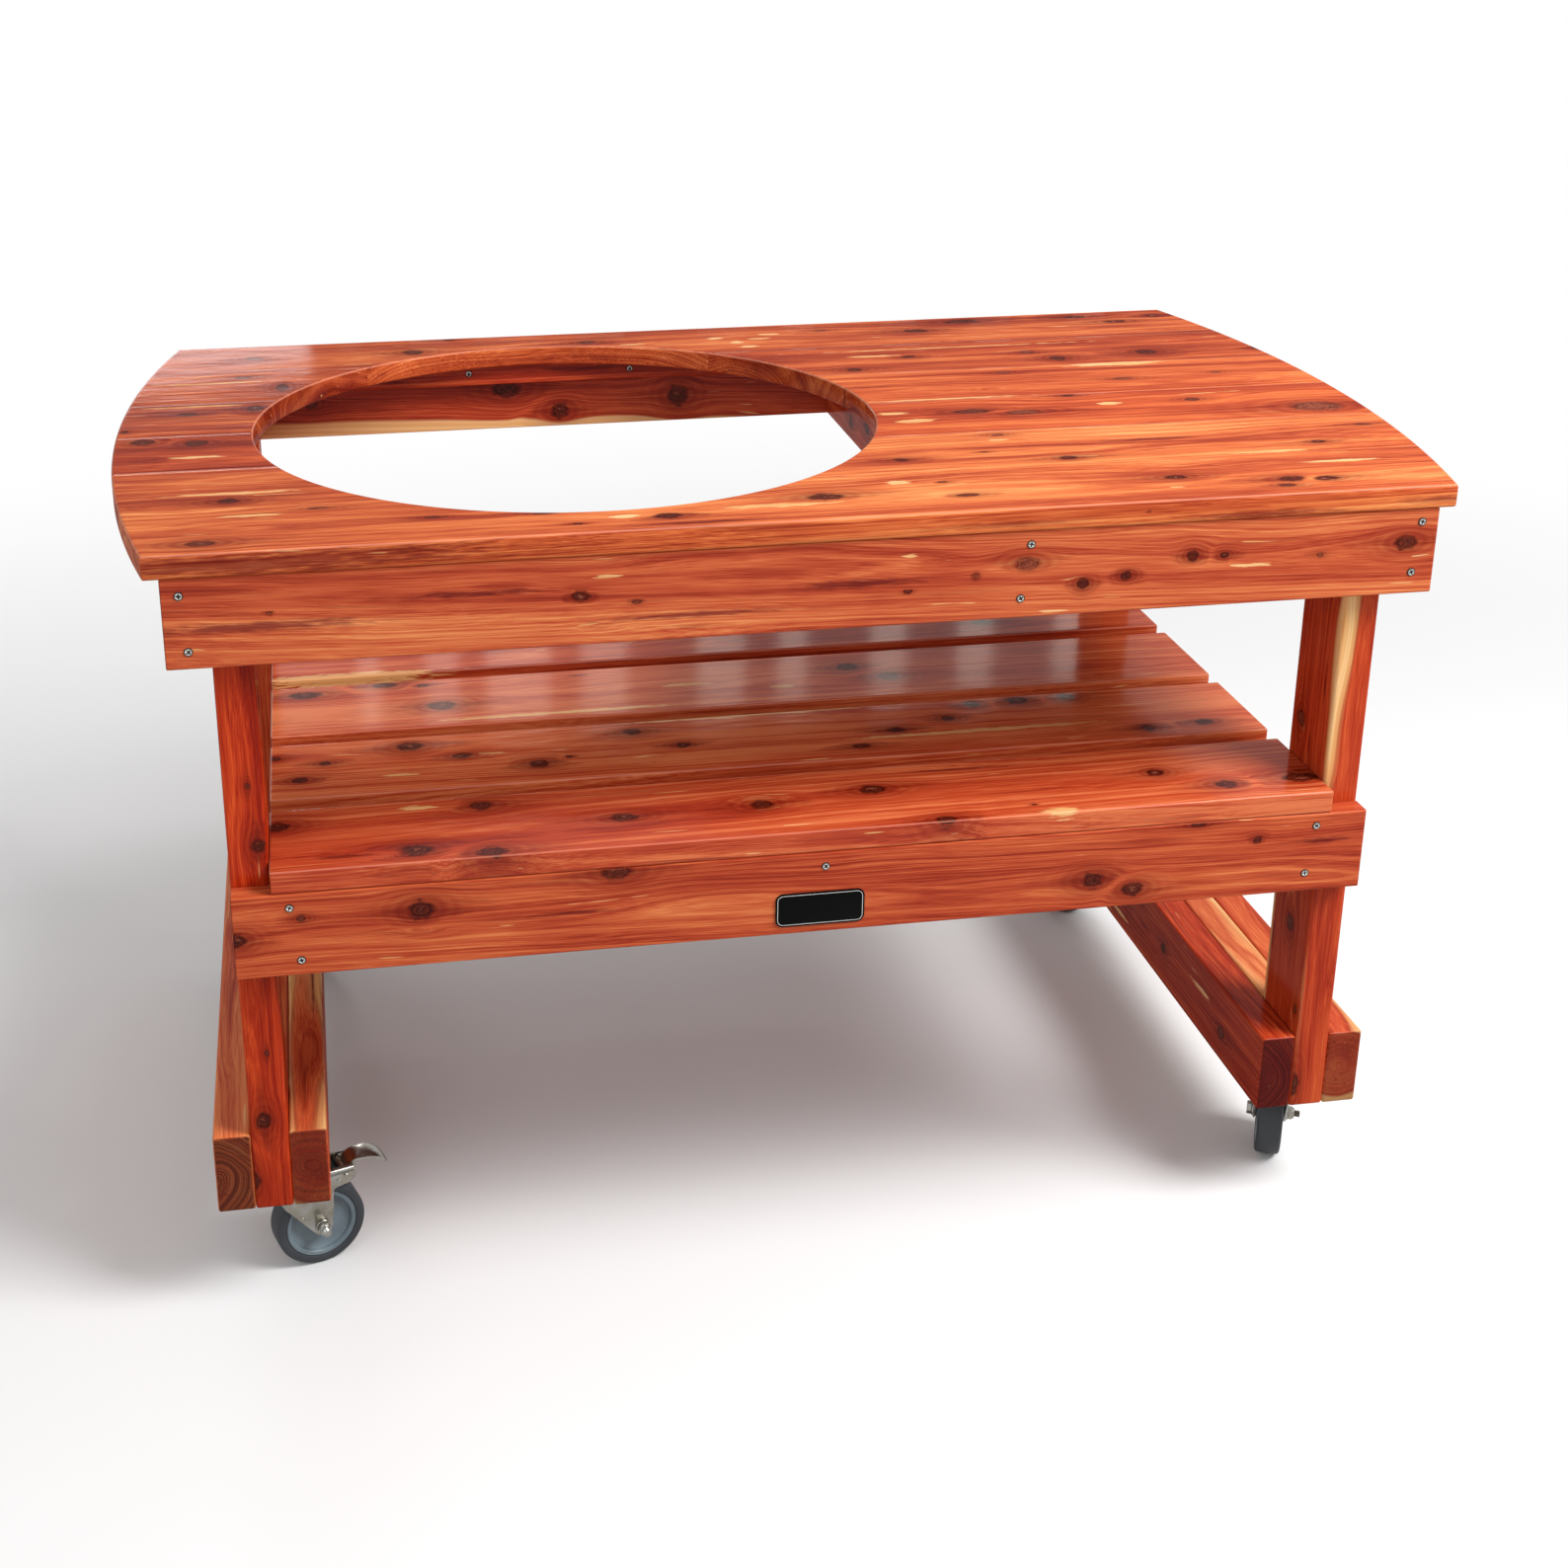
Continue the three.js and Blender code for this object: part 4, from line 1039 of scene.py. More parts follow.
def smooth_line(nodes, count):
    """A smooth curve through the nodes in evenly counted steps, and its normal at each step."""
    share = np.linspace(0, len(nodes) - 1, count)
    first = np.minimum(share.astype(int), len(nodes) - 2)
    t = (share - first)[:, None]
    before, here = nodes[np.maximum(first - 1, 0)], nodes[first]
    ahead, beyond = nodes[first + 1], nodes[np.minimum(first + 2, len(nodes) - 1)]
    leaving, arriving = (ahead - before) / 2, (beyond - here) / 2
    cubic = 2 * here - 2 * ahead + leaving + arriving
    square = 3 * ahead - 3 * here - 2 * leaving - arriving
    line = cubic * t ** 3 + square * t ** 2 + leaving * t + here
    slope = np.gradient(line, axis=0)
    slope /= np.linalg.norm(slope, axis=1)[:, None]
    return line, np.c_[-slope[:, 1], slope[:, 0]]


def pressed_blade(line, normal, half, dome, thick):
    """A pressed sheet carried along a line, domed across: its sides drop by the dome's depth."""
    across = np.sin(np.linspace(-0.5 * math.pi, 0.5 * math.pi, 15))
    width = np.r_[across[::-1], across]
    face = np.repeat([1, -1], len(across))
    lift = np.outer(thick, face)
    x = line[:, :1] + lift * normal[:, :1]
    y = np.outer(half, width)
    z = line[:, 1:] + lift * normal[:, 1:] - np.outer(dome, np.abs(width) ** DOME_POWER)
    return capped_tube(np.stack([x, y, z], axis=-1))


def pedal_shape():
    """Brake pedal: a neck that rises to an arched, blunt paddle, with two lugs, its hub and its pin."""
    lever = PEDAL_REACH - PEDAL_PIVOT[0]
    bends = np.array([
        (0, PEDAL_PIVOT[1]), (0.13, -10.7), (0.32, -5.4), (0.53, PEDAL_CREST), (0.73, -5.9),
        (0.9, -10.9), (1, PEDAL_TIP),
    ])
    line, normal = smooth_line(bends * (lever, 1) + (PEDAL_PIVOT[0], 0), 37)
    way = np.linspace(0, 1, len(line))
    half = np.interp(way, [0, 0.3, 0.45, 0.6, 0.84, 0.94, 0.98, 1],
                     [10.5, 11.5, 13.6, 14.5, 14.2, 13.2, 12, 10])
    thick = np.interp(way, [0, 0.02, 0.97, 1], [0.8, 1.3, 1.3, 0.7])
    dome = PEDAL_DOME * np.interp(way, [0.28, 0.46, 0.9, 1], [0, 1, 1, 0.3])
    hub = lathe([(4.4, -15.4), (5, -14.8), (5, 14.8), (4.4, 15.4)], 24)
    pin = lathe([(1.8, -19.9), (2.6, -19.2), (2.6, 19.2), (1.8, 19.9)], 16)
    lug = [(61.5, -19.5), (63.5, -22.3), (69.0, -21.6), (80.0, -13.5), (83.0, -9.4), (83.0, -7.6),
           (78.5, -7.4), (73.0, -9.8), (65.0, -12.2)]
    return joined(
        pressed_blade(line, normal, half, dome, thick),
        *[turned_to(rod, SIDEWAYS, (PEDAL_PIVOT[0], 0, PEDAL_PIVOT[1])) for rod in (hub, pin)],
        *[turned_to(sheet(lug, near, near + LUG_THICK, 0.4), SIDEWAYS) for near in LUG_SEATS],
    )


def wheel_shape():
    """Wheel core: a dished web between a hub sleeve and a raised rim ring, the same on both sides."""
    half = [(38.8, 12.6), (38.2, 13.4), (35.0, 13.4), (33.9, 12.9), (33.3, 11.9), (32.4, 9.6), (29.6, 8.0),
            (24.0, 7.3), (16.0, 7.5), (12.4, 8.3), (10.8, 10.0), (10.0, 12.4), (10.0, 14.9), (9.4, 15.5),
            (4.9, 15.5), (4.3, 14.9)]
    profile = [(r, -y) for r, y in half[::-1]] + half
    return turned_to(lathe(profile, 72, closed=True), SIDEWAYS, (TRAIL, 0, -AXLE_DROP))


def tyre_shape():
    """Tyre with a flat tread and rounded shoulders, in two thin steps down to the rim."""
    half = [(49.0, 9.5), (48.9, 11.0), (48.3, 12.3), (47.2, 13.3), (45.8, 13.9), (44.2, 14.0), (40.6, 14.0),
            (40.0, 13.8), (39.1, 13.3)]
    profile = [(r, -y) for r, y in half[::-1]] + half
    return turned_to(lathe(profile, 96, closed=True), SIDEWAYS, (TRAIL, 0, -AXLE_DROP))


def axle_shape():
    """Axle bolt with its threads, washers, hexagon head, and a lock nut with its collar."""
    seat = FORK_INNER + FORK_THICK + 0.3
    outer = seat + 1.6
    thread = [(3.2, -outer - 13.3)]
    for k in range(6):
        thread += [(4.0, -outer - 12.9 + k * 1.1), (3.45, -outer - 12.35 + k * 1.1)]
    parts = [
        lathe(thread + [(4.0, -outer - 6), (4.0, outer)], 24),
        lathe([(8.2, -outer), (8.6, -outer + 0.4), (8.6, -seat)], 32),
        lathe([(8.6, seat), (8.6, outer - 0.4), (8.2, outer)], 32),
        hexagon(7.5, -outer - 5.2, -outer),
        lathe([(4.4, -outer - 7.0), (5.4, -outer - 7.0), (6.2, -outer - 6.3), (6.4, -outer - 5.0)], 24),
        hexagon(7.5, outer, outer + 5.3),
    ]
    return turned_to(joined(*parts), SIDEWAYS, (TRAIL, 0, -AXLE_DROP))


def at_caster(shape, corner):
    """A caster's shape turned about its kingpin and set at its corner."""
    side_x, side_y, share = CASTER_TURN_SHARES[corner]
    place = (side_x * KINGPIN_X, side_y * KINGPIN_Y, CASTER_HEIGHT)
    return shape[0] @ turn_matrix(2 * math.pi * share) + place, shape[1], shape[2]


def add_casters(zinc, dark_steel, plastic, rubber):
    """Seven pieces for each caster. The plate stays on the table and the others move with it."""
    shapes = {
        "plate": (plate_shape(), "table", "zinc", zinc),
        "fork": (fork_shape(), "swivel", "zinc", zinc),
        "brake": (brake_shape(), "swivel", "zinc", dark_steel),
        "pedal": (pedal_shape(), "pedal_lever", "zinc", zinc),
        "wheel": (wheel_shape(), "wheel_set", "wheel_plastic", plastic),
        "tyre": (tyre_shape(), "wheel_set", "tyre_rubber", rubber),
        "axle": (axle_shape(), "swivel", "zinc", zinc),
    }
    for corner in CASTER_TURN_SHARES:
        for kind, (shape, body, slot, material) in shapes.items():
            node = f"caster_{corner}_{kind}"
            mesh = build_mesh("detailed_" + node, at_caster(shape, corner), METAL_CREASE_DEG)
            owner = body if body == "table" else f"caster_{corner}_{body}"
            add_piece(mesh, material, owner, (node,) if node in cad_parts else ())


def add_screws(material):
    """Pan-head screws on the front and back boards and the cleats, each turned a little further."""
    head, shade_and_grime = screw_head(SCREW_RADIUS, SCREW_RISE)
    rows = [
        (APRON_SCREWS, FRONT_FACE, -1), (RAIL_SCREWS, FRONT_FACE, -1), (CLEAT_SCREWS, CLEAT_FACE, -1),
        (APRON_SCREWS, -FRONT_FACE, 1), (RAIL_SCREWS, -FRONT_FACE, 1),
    ]
    shapes = []
    for row, face, out in rows:
        for x, z in row:
            points = head[0] @ turn_matrix(SCREW_TURN_STEP * len(shapes))
            standing = np.c_[points[:, 0], face + out * points[:, 2], points[:, 1]]
            shapes.append(outward(standing + (x, 0, z), head[1], head[2]))
    mesh = build_mesh("screw_heads", joined(*shapes), METAL_CREASE_DEG)
    values = mesh.attributes.new("shade_and_grime", "FLOAT", "POINT").data
    values.foreach_set("value", np.tile(shade_and_grime, len(shapes)))
    add_piece(mesh, material, "table")


def add_nameplate(black, silver):
    """A bare black plate with a fine silver line inside its edge."""
    low, high = node_box("nameplate")
    length, thick, height = high - low
    middle = (low + high) / 2
    body = sheet(rounded_outline(length, height, NAMEPLATE_CORNER, 9), -thick / 2, thick / 2, 0.5)
    line = []
    for inset, lift in ((1.9, -0.3), (1.9, 0.06), (2.5, 0.06), (2.5, -0.3)):
        inner_length, inner_height = length - 2 * inset, height - 2 * inset
        outline = np.array(rounded_outline(inner_length, inner_height, NAMEPLATE_CORNER - inset, 9))
        line.append(np.c_[outline, np.full(len(outline), -thick / 2 - lift)])
    quads = grid_quads(len(line), len(line[0]), wrap_rows=True, wrap_columns=True)
    stood = turned_to(body, SIDEWAYS, middle)
    border = turned_to(outward(np.concatenate(line), quads), SIDEWAYS, middle)
    plate_mesh = build_mesh("black_nameplate", stood, METAL_CREASE_DEG)
    add_piece(plate_mesh, black, "table", ("nameplate",))
    border_mesh = build_mesh("nameplate_border", border, METAL_CREASE_DEG)
    add_piece(border_mesh, silver, "table")


# Materials
# Patterns in the cedar: the space each lies in, its size in millimetres along, across and through
# the grain, its detail and its roughness. Rings are 2 mm wide and fibres are drawn 0.9 mm wide.
CEDAR_PATTERNS = {
    "broad": ("rings", (1430, 20, 2500), 2.0, 0.5),
    "ring": ("rings", (625, 2.0, 1670), 2.5, 0.62),
    "fibre": ("fibres", (60, 0.9, 0.9), 2.0, 0.62),
    "cloud": ("fibres", (250, 33, 33), 2.0, 0.5),
    "streak": ("fibres", (286, 6.2, 6.2), 2.0, 0.5),
    "fleck": ("fibres", (90, 5, 5), 1.5, 0.5),
    "ragged": ("fibres", (20, 2, 2), 2.0, 0.5),
    "drawn": ("fibres", (55, 2.4, 2.4), 2.0, 0.5),
    "patchy": ("grain", (7.7, 5, 5), 2.0, 0.5),
    "ripple": ("grain", (83, 33, 33), 2.0, 0.5),
}
SHADE_WEIGHTS = {"broad": 1.0, "ring": 1.15, "fibre": 0.95, "cloud": 0.6}

# Each slot's heartwood from dark to light by share, its varnish, and the strength of the painted highlight
# on its upward-leaning arrises
HEARTWOOD_SHARES = (0.0, 0.28, 0.5, 0.72, 1.0)
CEDAR_LOOKS = {
    "cedar_top": {
        "colours": ("#6E2015", "#9C3A20", "#C35A31", "#DC7C45", "#EEA566"),
        "coat": 0.1, "coat_roughness": 0.09, "ripple": 0.35, "arris_highlight": 0.35,
    },
    "cedar_frame": {
        "colours": ("#741F13", "#9C3620", "#B95030", "#CE6B40", "#E29059"),
        "coat": 0.2, "coat_roughness": 0.16, "ripple": 0.3, "arris_highlight": 0.0,
    },
    "cedar_shelf": {
        "colours": ("#5E130B", "#862414", "#A8391F", "#BF502C", "#D9774A"),
        "coat": 0.36, "coat_roughness": 0.13, "ripple": 0.45, "arris_highlight": 0.3,
    },
}
SWAY_SIZE = (455, 71, 71)
SWAY_REACH = 34.0


def board_values(tree):
    """What a board's mesh tells its material, each value by its name."""
    names = {
        "grain": ("along", "across", "through"), "board": ("tone", "redness", "sapwood"),
        "mark": ("mark_along", "mark_across", "room"), "mark_size": ("half_long", "half_wide", "depth"),
        "side": ("end", "face_on", "turned"),
    }
    here = {}
    for attribute, parts in names.items():
        here[attribute] = add(tree, "ShaderNodeAttribute", out="Vector", attribute_name=attribute)
        here.update(zip(parts, add(tree, "ShaderNodeSeparateXYZ", {0: here[attribute]}).node.outputs))
    free = add(tree, "ShaderNodeMapRange", {"Value": here["room"]}, interpolation_type="SMOOTHSTEP")
    for kind, depth, reach in (("knot", 1.0, 0.99), ("fleck", -1.0, 0.5), ("streak", -2.0, 0.5)):
        chosen = add(tree, "ShaderNodeMath", {0: here["depth"], 1: depth, 2: reach}, operation="COMPARE")
        here["is_" + kind] = add(tree, "ShaderNodeMath", {0: chosen, 1: free}, operation="MULTIPLY")
    return here


def from_mark(tree, here, long_share, wide_share):
    """Squared distance from the nearest mark, 1 on the ellipse with these shares of its size."""
    scaled = add(tree, "ShaderNodeVectorMath", {0: here["mark"], 1: here["mark_size"]},
                 operation="DIVIDE")
    shared = add(tree, "ShaderNodeVectorMath", {0: scaled, 1: (1 / long_share, 1 / wide_share, 0)},
                 operation="MULTIPLY")
    return add(tree, "ShaderNodeVectorMath", {0: shared, 1: shared}, out="Value",
               operation="DOT_PRODUCT")


def bell(tree, squared, height):
    """A bump round a mark that falls off with the squared distance."""
    lowered = add(tree, "ShaderNodeMath", {0: squared, 1: -1.0}, operation="MULTIPLY")
    raised = add(tree, "ShaderNodeMath", {0: lowered}, operation="EXPONENT")
    return add(tree, "ShaderNodeMath", {0: raised, 1: height}, operation="MULTIPLY")


def add_flow(tree, here):
    """Bends the grain round knots and sways it, then finds each point's distance from the pith."""
    here["bulge"] = bell(tree, from_mark(tree, here, 2.6, 1.9), here["is_knot"])
    push = add(tree, "ShaderNodeMath", {0: here["mark_across"], 1: here["bulge"]}, operation="MULTIPLY")
    push = add(tree, "ShaderNodeMath", {0: push, 1: -0.9}, operation="MULTIPLY")
    sideways = add(tree, "ShaderNodeVectorMath", {0: here["side"], 1: (0, 1, 1)}, operation="MULTIPLY")
    pushed = add(tree, "ShaderNodeVectorMath", {0: sideways, "Scale": push}, operation="SCALE")
    place = add(tree, "ShaderNodeVectorMath", {0: here["grain"], 1: SWAY_SIZE}, operation="DIVIDE")
    wobble = add(tree, "ShaderNodeTexNoise", {"Vector": place, "Scale": 1.0, "Detail": 2.0})
    sway = add(tree, "ShaderNodeMapRange", {
        "Value": wobble, "To Min": -SWAY_REACH / 2, "To Max": SWAY_REACH / 2})
    swayed = add(tree, "ShaderNodeVectorMath", {0: (0, 1, 0.6), "Scale": sway}, operation="SCALE")
    moved = add(tree, "ShaderNodeVectorMath", {0: pushed, 1: swayed}, operation="ADD")
    here["fibres"] = add(tree, "ShaderNodeVectorMath", {0: here["grain"], 1: moved}, operation="ADD")
    flat = add(tree, "ShaderNodeVectorMath", {0: here["fibres"], 1: (0, 1, 1)}, operation="MULTIPLY")
    here["radius"] = add(tree, "ShaderNodeVectorMath", {0: flat}, out="Value", operation="LENGTH")
    slant = add(tree, "ShaderNodeMath", {0: here["along"], 1: 0.3}, operation="MULTIPLY")
    here["rings"] = add(tree, "ShaderNodeCombineXYZ", {0: here["along"], 1: here["radius"], 2: slant})


def add_patterns(tree, here):
    """The noises of the wood, each stretched along the grain by its own sizes in millimetres."""
    for name, (space, size, detail, roughness) in CEDAR_PATTERNS.items():
        place = add(tree, "ShaderNodeVectorMath", {0: here[space], 1: size}, operation="DIVIDE")
        here[name] = add(tree, "ShaderNodeTexNoise", {
            "Vector": place, "Scale": 1.0, "Detail": detail, "Roughness": roughness})


def heartwood(tree, here, colours):
    """Salmon to purple-red by ring, fibre and cloud, with rings round the knots and dark streaks."""
    even = 0.5 - sum(SHADE_WEIGHTS.values()) / 2
    shade = add(tree, "ShaderNodeMath", {0: here["tone"], 1: even}, operation="ADD")
    for name, weight in SHADE_WEIGHTS.items():
        shade = add(tree, "ShaderNodeMath", {0: here[name], 1: weight, 2: shade},
                    operation="MULTIPLY_ADD")
    here["lens"] = add(tree, "ShaderNodeMath", {0: from_mark(tree, here, 1.9, 1.35)}, operation="SQRT")
    turn = add(tree, "ShaderNodeMath", {0: here["lens"], 1: 12.0}, operation="MULTIPLY")
    wave = add(tree, "ShaderNodeMath", {0: turn}, operation="SINE")
    wave = add(tree, "ShaderNodeMath", {0: wave, 1: 0.12}, operation="MULTIPLY")
    shade = add(tree, "ShaderNodeMath", {0: wave, 1: here["bulge"], 2: shade}, operation="MULTIPLY_ADD")
    colour = add(tree, "ShaderNodeValToRGB", {0: shade}, ramp=list(zip(HEARTWOOD_SHARES, colours)))
    colour = add(tree, "ShaderNodeMix", {0: here["redness"], 6: colour, 7: linear("#FFB890")}, out=2,
                 data_type="RGBA", blend_type="MULTIPLY")
    dark = add(tree, "ShaderNodeMapRange", {
        "Value": here["streak"], "From Min": 0.6, "From Max": 0.74, "To Max": 0.42,
    }, interpolation_type="SMOOTHSTEP")
    return add(tree, "ShaderNodeMix", {0: dark, 6: colour, 7: linear("#6E1D14")}, out=2,
               data_type="RGBA")


def sapwood(tree, here, colour):
    """Cream sapwood: chance flecks, the outer part of a log, and the listed flecks."""
    chance = add(tree, "ShaderNodeMapRange", {
        "Value": here["fleck"], "From Min": 0.735, "From Max": 0.765, "To Max": 0.8,
    }, interpolation_type="SMOOTHSTEP")
    beyond = add(tree, "ShaderNodeMath", {0: here["radius"], 1: here["sapwood"]}, operation="SUBTRACT")
    outer = add(tree, "ShaderNodeMapRange", {
        "Value": beyond, "From Min": -1.0, "From Max": 4.0, "To Max": 0.95,
    }, interpolation_type="SMOOTHSTEP")
    inside = add(tree, "ShaderNodeMapRange", {
        "Value": here["outline"], "From Min": 1.0, "From Max": 0.75, "To Max": 0.9,
    }, interpolation_type="SMOOTHSTEP")
    placed = add(tree, "ShaderNodeMath", {0: inside, 1: here["is_fleck"]}, operation="MULTIPLY")
    cream = add(tree, "ShaderNodeMath", {0: chance, 1: outer}, operation="MAXIMUM")
    cream = add(tree, "ShaderNodeMath", {0: cream, 1: placed}, operation="MAXIMUM")
    shown = add(tree, "ShaderNodeValToRGB", {0: here["ring"]},
                ramp=[(0.3, "#CC8A4E"), (0.5, "#E4B073"), (0.7, "#F0CB96")])
    return add(tree, "ShaderNodeMix", {0: cream, 6: colour, 7: shown}, out=2, data_type="RGBA")


def placed_streaks(tree, here, colour):
    """Listed dark streaks, soft towards their edges."""
    soft = add(tree, "ShaderNodeMapRange", {
        "Value": here["outline"], "From Min": 1.1, "From Max": 0.2, "To Max": 0.9,
    }, interpolation_type="SMOOTHSTEP")
    dark = add(tree, "ShaderNodeMath", {0: soft, 1: here["is_streak"]}, operation="MULTIPLY")
    return add(tree, "ShaderNodeMix", {0: dark, 6: colour, 7: linear("#A27CA0")}, out=2,
               data_type="RGBA", blend_type="MULTIPLY")


def knot_halo(tree, here, colour):
    """Dark red round each knot, drawn out along the grain in tails."""
    strength = add(tree, "ShaderNodeMath", {0: here["is_knot"], 1: here["depth"]}, operation="MULTIPLY")
    near = bell(tree, from_mark(tree, here, 2.6, 1.8), 0.85)
    tails = add(tree, "ShaderNodeMapRange", {
        "Value": here["drawn"], "From Min": 0.34, "From Max": 0.54, "To Max": 0.95,
    }, interpolation_type="SMOOTHSTEP")
    tails = bell(tree, from_mark(tree, here, 4.2, 1.0), tails)
    halo = add(tree, "ShaderNodeMath", {0: near, 1: tails}, operation="MAXIMUM")
    halo = add(tree, "ShaderNodeMath", {0: halo, 1: strength}, operation="MULTIPLY")
    return add(tree, "ShaderNodeMix", {0: halo, 6: colour, 7: linear("#70180B")}, out=2,
               data_type="RGBA")


def knot_core(tree, here, colour):
    """The knot itself: brown wood in uneven rings inside a dark rim of bark."""
    distance = add(tree, "ShaderNodeMath", {0: from_mark(tree, here, 1.0, 1.0)}, operation="SQRT")
    rim = add(tree, "ShaderNodeMath", {0: here["drawn"], 1: 0.8, 2: distance}, operation="MULTIPLY_ADD")
    rim = add(tree, "ShaderNodeMath", {0: here["patchy"], 1: 1.0, 2: rim}, operation="MULTIPLY_ADD")
    rim = add(tree, "ShaderNodeMath", {0: rim, 1: 0.9}, operation="SUBTRACT")
    turn = add(tree, "ShaderNodeMath", {0: here["lens"], 1: 20.0}, operation="MULTIPLY")
    wave = add(tree, "ShaderNodeMath", {0: turn}, operation="SINE")
    inner = add(tree, "ShaderNodeMath", {0: wave, 1: 0.12, 2: rim}, operation="MULTIPLY_ADD")
    inner = add(tree, "ShaderNodeMath", {0: inner, 1: 0.5}, operation="MULTIPLY")
    dark = add(tree, "ShaderNodeValToRGB", {0: inner}, ramp=[
        (0.0, "#8A4A35"), (0.08, "#5E2417"), (0.16, "#350B05"), (0.25, "#6B2514"), (0.34, "#420E06"),
        (0.43, "#2A0602"), (0.53, "#521208"), (0.66, "#7A1F0E"),
    ])
    brown = add(tree, "ShaderNodeValToRGB", {0: inner}, ramp=[
        (0.0, "#6A2A1C"), (0.12, "#8E4630"), (0.22, "#5A2015"), (0.32, "#90472E"), (0.42, "#4A160E"),
        (0.54, "#74281A"), (0.7, "#8A2E1A"),
    ])
    darkness = add(tree, "ShaderNodeMapRange", {
        "Value": here["depth"], "From Min": 0.62, "From Max": 0.92}, interpolation_type="SMOOTHSTEP")
    shown = add(tree, "ShaderNodeMix", {0: darkness, 6: brown, 7: dark}, out=2, data_type="RGBA")
    inside = add(tree, "ShaderNodeMapRange", {
        "Value": rim, "From Min": 1.25, "From Max": 0.6}, interpolation_type="SMOOTHSTEP")
    here["knot"] = add(tree, "ShaderNodeMath", {0: inside, 1: here["is_knot"]}, operation="MULTIPLY")
    return add(tree, "ShaderNodeMix", {0: here["knot"], 6: colour, 7: shown}, out=2, data_type="RGBA")


def varnish(tree, here, colour, coat, coat_roughness, ripple):
    """Matt wood in fine relief under a clear gloss coat that ripples slightly."""
    relief = add(tree, "ShaderNodeMath", {0: here["fibre"], 1: here["ring"]}, operation="ADD")
    relief = add(tree, "ShaderNodeMath", {0: relief, 1: 0.5}, operation="MULTIPLY")
    relief = add(tree, "ShaderNodeMath", {0: here["knot"], 1: -0.8, 2: relief}, operation="MULTIPLY_ADD")
    wood_bump = add(tree, "ShaderNodeBump", {"Height": relief, "Strength": 0.35, "Distance": 0.0003},
                    out="Normal")
    skin = add(tree, "ShaderNodeMath", {0: relief, 1: 0.05, 2: here["ripple"]}, operation="MULTIPLY_ADD")
    coat_bump = add(tree, "ShaderNodeBump", {"Height": skin, "Strength": ripple, "Distance": 0.0009},
                    out="Normal")
    roughness = add(tree, "ShaderNodeMapRange", {
        "Value": here["fibre"], "From Min": 0.2, "From Max": 0.8, "To Min": 0.42, "To Max": 0.6})
    return add(tree, "ShaderNodeBsdfPrincipled", {
        "Base Color": colour, "Roughness": roughness, "IOR": 1.45, "Normal": wood_bump,
        "Coat Weight": coat, "Coat Roughness": coat_roughness, "Coat IOR": 1.45,
        "Coat Normal": coat_bump, "Specular IOR Level": 0.0,
    })


def mark_outline(tree, here):
    """Distance from the nearest mark, 1 on its ragged edge."""
    distance = add(tree, "ShaderNodeMath", {0: from_mark(tree, here, 1.0, 1.0)}, operation="SQRT")
    ragged = add(tree, "ShaderNodeMath", {0: here["ragged"], 1: 1.6, 2: distance},
                 operation="MULTIPLY_ADD")
    return add(tree, "ShaderNodeMath", {0: ragged, 1: 0.8}, operation="SUBTRACT")


def end_grain(tree, here, colour):
    """Sawn ends have drunk the varnish and show darker, most where the rings are dense."""
    soaked = add(tree, "ShaderNodeMapRange", {
        "Value": here["ring"], "From Min": 0.42, "From Max": 0.58, "To Min": 0.78, "To Max": 1.1})
    soaked = add(tree, "ShaderNodeMath", {0: soaked, 1: here["end"]}, operation="MULTIPLY")
    return add(tree, "ShaderNodeMix", {0: soaked, 6: colour, 7: linear("#3F0406")}, out=2,
               data_type="RGBA")


def painted_arris_highlights(tree, colour, highlight_strength):
    """Arrises that lean upwards, lightened by a painted highlight where the varnish would shine, over wood
    paled by sanding.
    """
    facing = add(tree, "ShaderNodeNewGeometry", out="Normal")
    up = add(tree, "ShaderNodeSeparateXYZ", {0: facing}, out="Z")
    lit_arris = add(tree, "ShaderNodeMapRange", {
        "Value": up, "From Min": 0.25, "From Max": 0.6, "To Max": highlight_strength,
    }, interpolation_type="SMOOTHSTEP")
    flat = add(tree, "ShaderNodeMapRange", {
        "Value": up, "From Min": 0.99, "From Max": 0.85}, interpolation_type="SMOOTHSTEP")
    lit_arris = add(tree, "ShaderNodeMath", {0: lit_arris, 1: flat}, operation="MULTIPLY")
    return add(tree, "ShaderNodeMix", {0: lit_arris, 6: colour, 7: linear("#E6A288")}, out=2,
               data_type="RGBA")


def cedar(name, colours, coat, coat_roughness, ripple, arris_highlight):
    """Aromatic red cedar, planed, sanded and varnished.

    The varnish gives it a clear gloss with a slight ripple. Under it the wood is salmon to
    purple-red, with dark streaks, cream sapwood, and knots that the grain flows round. Its
    upward-leaning arrises carry a painted highlight over wood paled by sanding, and its end grain
    has drunk the varnish and shows darker.
    """
    material, tree = start_material(name)
    here = board_values(tree)
    add_flow(tree, here)
    add_patterns(tree, here)
    here["outline"] = mark_outline(tree, here)
    colour = heartwood(tree, here, colours)
    colour = sapwood(tree, here, colour)
    colour = placed_streaks(tree, here, colour)
    colour = knot_halo(tree, here, colour)
    colour = knot_core(tree, here, colour)
    colour = end_grain(tree, here, colour)
    # Painted highlight on the arrises that lean upwards
    colour = painted_arris_highlights(tree, colour, arris_highlight)
    finish_material(tree, varnish(tree, here, colour, coat, coat_roughness, ripple))
    return material


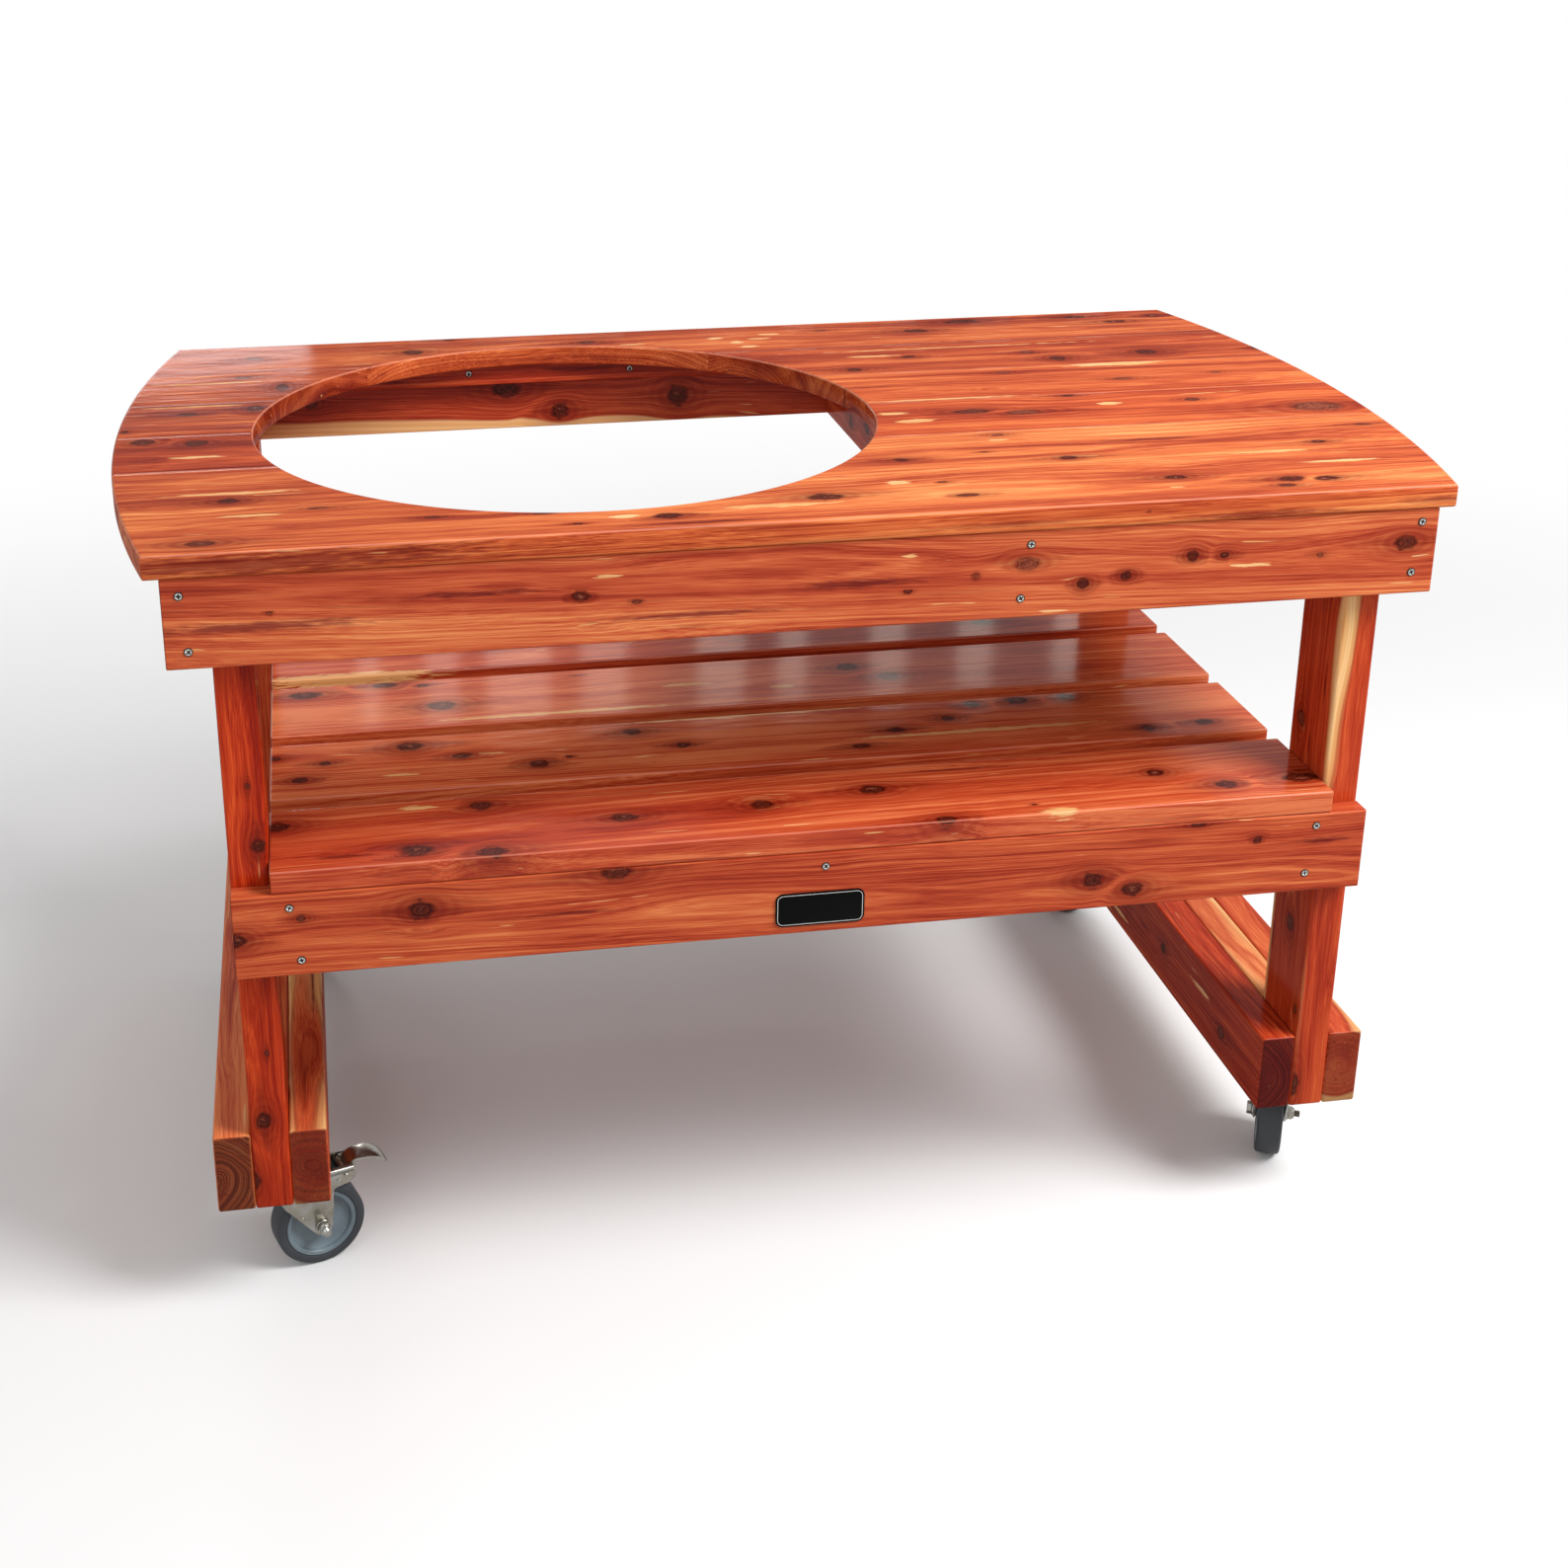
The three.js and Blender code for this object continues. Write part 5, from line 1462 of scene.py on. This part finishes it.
def zinc_plate():
    """Zinc-plated pressed steel: bright, faintly blue and yellow in cloudy patches."""
    material, tree = start_material("zinc_plated_steel")
    place = add(tree, "ShaderNodeTexCoord", out="Object")
    cloud = add(tree, "ShaderNodeTexNoise", {"Vector": place, "Scale": 55.0, "Detail": 3.0})
    grit = add(tree, "ShaderNodeTexNoise", {"Vector": place, "Scale": 900.0, "Detail": 2.0})
    colour = add(tree, "ShaderNodeValToRGB", {0: cloud},
                 ramp=[(0.32, "#857F74"), (0.5, "#938F86"), (0.68, "#9C9D9A")])
    roughness = add(tree, "ShaderNodeMapRange", {"Value": cloud, "To Min": 0.2, "To Max": 0.38})
    bump = add(tree, "ShaderNodeBump", {"Height": grit, "Strength": 0.12, "Distance": 0.0002},
               out="Normal")
    finish_material(tree, add(tree, "ShaderNodeBsdfPrincipled", {
        "Base Color": colour, "Metallic": 1.0, "Roughness": roughness, "Normal": bump}))
    return material


def screw_zinc():
    """Zinc-plated screw heads: bright on the dome, dull and dark in the cross and at the rim, where shade
    is painted in along with grime.
    """
    material, tree = start_material("zinc_plated_screws")
    shade_and_grime = add(tree, "ShaderNodeAttribute", out="Fac", attribute_name="shade_and_grime")
    place = add(tree, "ShaderNodeTexCoord", out="Object")
    speck = add(tree, "ShaderNodeTexNoise", {"Vector": place, "Scale": 600.0, "Detail": 2.0})
    uneven = add(tree, "ShaderNodeMath", {0: speck, 1: 0.3, 2: shade_and_grime}, operation="MULTIPLY_ADD")
    # The darker colours are painted shade and grime, in the cross and at the rim
    colour = add(tree, "ShaderNodeValToRGB", {0: uneven},
                 ramp=[(0.1, "#D2D3D0"), (0.45, "#A09C96"), (0.75, "#4B4744"), (1.0, "#241C19")])
    roughness = add(tree, "ShaderNodeMapRange", {"Value": uneven, "To Min": 0.25, "To Max": 0.6})
    finish_material(tree, add(tree, "ShaderNodeBsdfPrincipled", {
        "Base Color": colour, "Metallic": 1.0, "Roughness": roughness}))
    return material


# Smooth materials: a dark and a light colour, how rough they are, and their fine texture's
# scale and depth in metres
SMOOTH_LOOKS = {
    # Satin blue-grey, even all over, as it comes out of the mould
    "moulded_nylon_wheel": {
        "colours": ("#5F6D75", "#74828A"), "roughness": 0.38, "grain_scale": 700.0, "depth": 0.0002},
    # Matt charcoal that hardly shines
    "moulded_rubber_tyre": {
        "colours": ("#26292E", "#32363B"), "roughness": 0.6, "grain_scale": 900.0, "depth": 0.0003},
    # Even, nearly black, with the faintest sheen
    "enamelled_black_plate": {
        "colours": ("#020202", "#040404"), "roughness": 0.25, "grain_scale": 300.0, "depth": 0.0001,
        "specular": 0.06},
    # Dark and slightly oily, with a low gleam
    "blackened_brake_steel": {
        "colours": ("#15171A", "#24272B"), "roughness": 0.35, "grain_scale": 500.0, "depth": 0.0002},
    # A pale, even line
    "silver_plate_line": {
        "colours": ("#C4C4C2", "#D8D8D6"), "roughness": 0.35, "grain_scale": 400.0, "depth": 0.0001},
}


def fine_textured(name, colours, roughness, grain_scale, depth, specular=0.5):
    """Plastic, rubber, enamel or blackened steel: nearly even in colour, with a fine texture."""
    material, tree = start_material(name)
    place = add(tree, "ShaderNodeTexCoord", out="Object")
    cloud = add(tree, "ShaderNodeTexNoise", {"Vector": place, "Scale": 38.0, "Detail": 4.0})
    colour = add(tree, "ShaderNodeValToRGB", {0: cloud}, ramp=[(0.3, colours[0]), (0.7, colours[1])])
    grit = add(tree, "ShaderNodeTexNoise", {"Vector": place, "Scale": grain_scale, "Detail": 2.0})
    spread = add(tree, "ShaderNodeMapRange", {
        "Value": cloud, "To Min": roughness - 0.07, "To Max": roughness + 0.09})
    bump = add(tree, "ShaderNodeBump", {"Height": grit, "Strength": 0.25, "Distance": depth},
               out="Normal")
    finish_material(tree, add(tree, "ShaderNodeBsdfPrincipled", {
        "Base Color": colour, "Roughness": spread, "IOR": 1.5, "Normal": bump,
        "Specular IOR Level": specular}))
    return material


def main():
    """The studio, then every piece of the table."""
    bpy.context.scene.view_settings.view_transform = "Standard"
    add_camera()
    add_room()
    add_softbox("key_softbox", KEY_POWER, KEY_SIZE, KEY_PLACE)
    add_softbox("fill_softbox", FILL_POWER, FILL_SIZE, FILL_PLACE)
    add_softbox("back_softbox", BACK_POWER, BACK_SIZE, BACK_PLACE)
    add_floor()
    add_strip_lights()
    materials = {slot: cedar(f"varnished_{slot}", **looks) for slot, looks in CEDAR_LOOKS.items()}
    add_boards(materials)
    add_foot_fillers(materials["cedar_frame"])
    zinc = zinc_plate()
    smooth = {name: fine_textured(name, **looks) for name, looks in SMOOTH_LOOKS.items()}
    add_casters(zinc, smooth["blackened_brake_steel"], smooth["moulded_nylon_wheel"],
                smooth["moulded_rubber_tyre"])
    add_screws(screw_zinc())
    add_nameplate(smooth["enamelled_black_plate"], smooth["silver_plate_line"])


main()
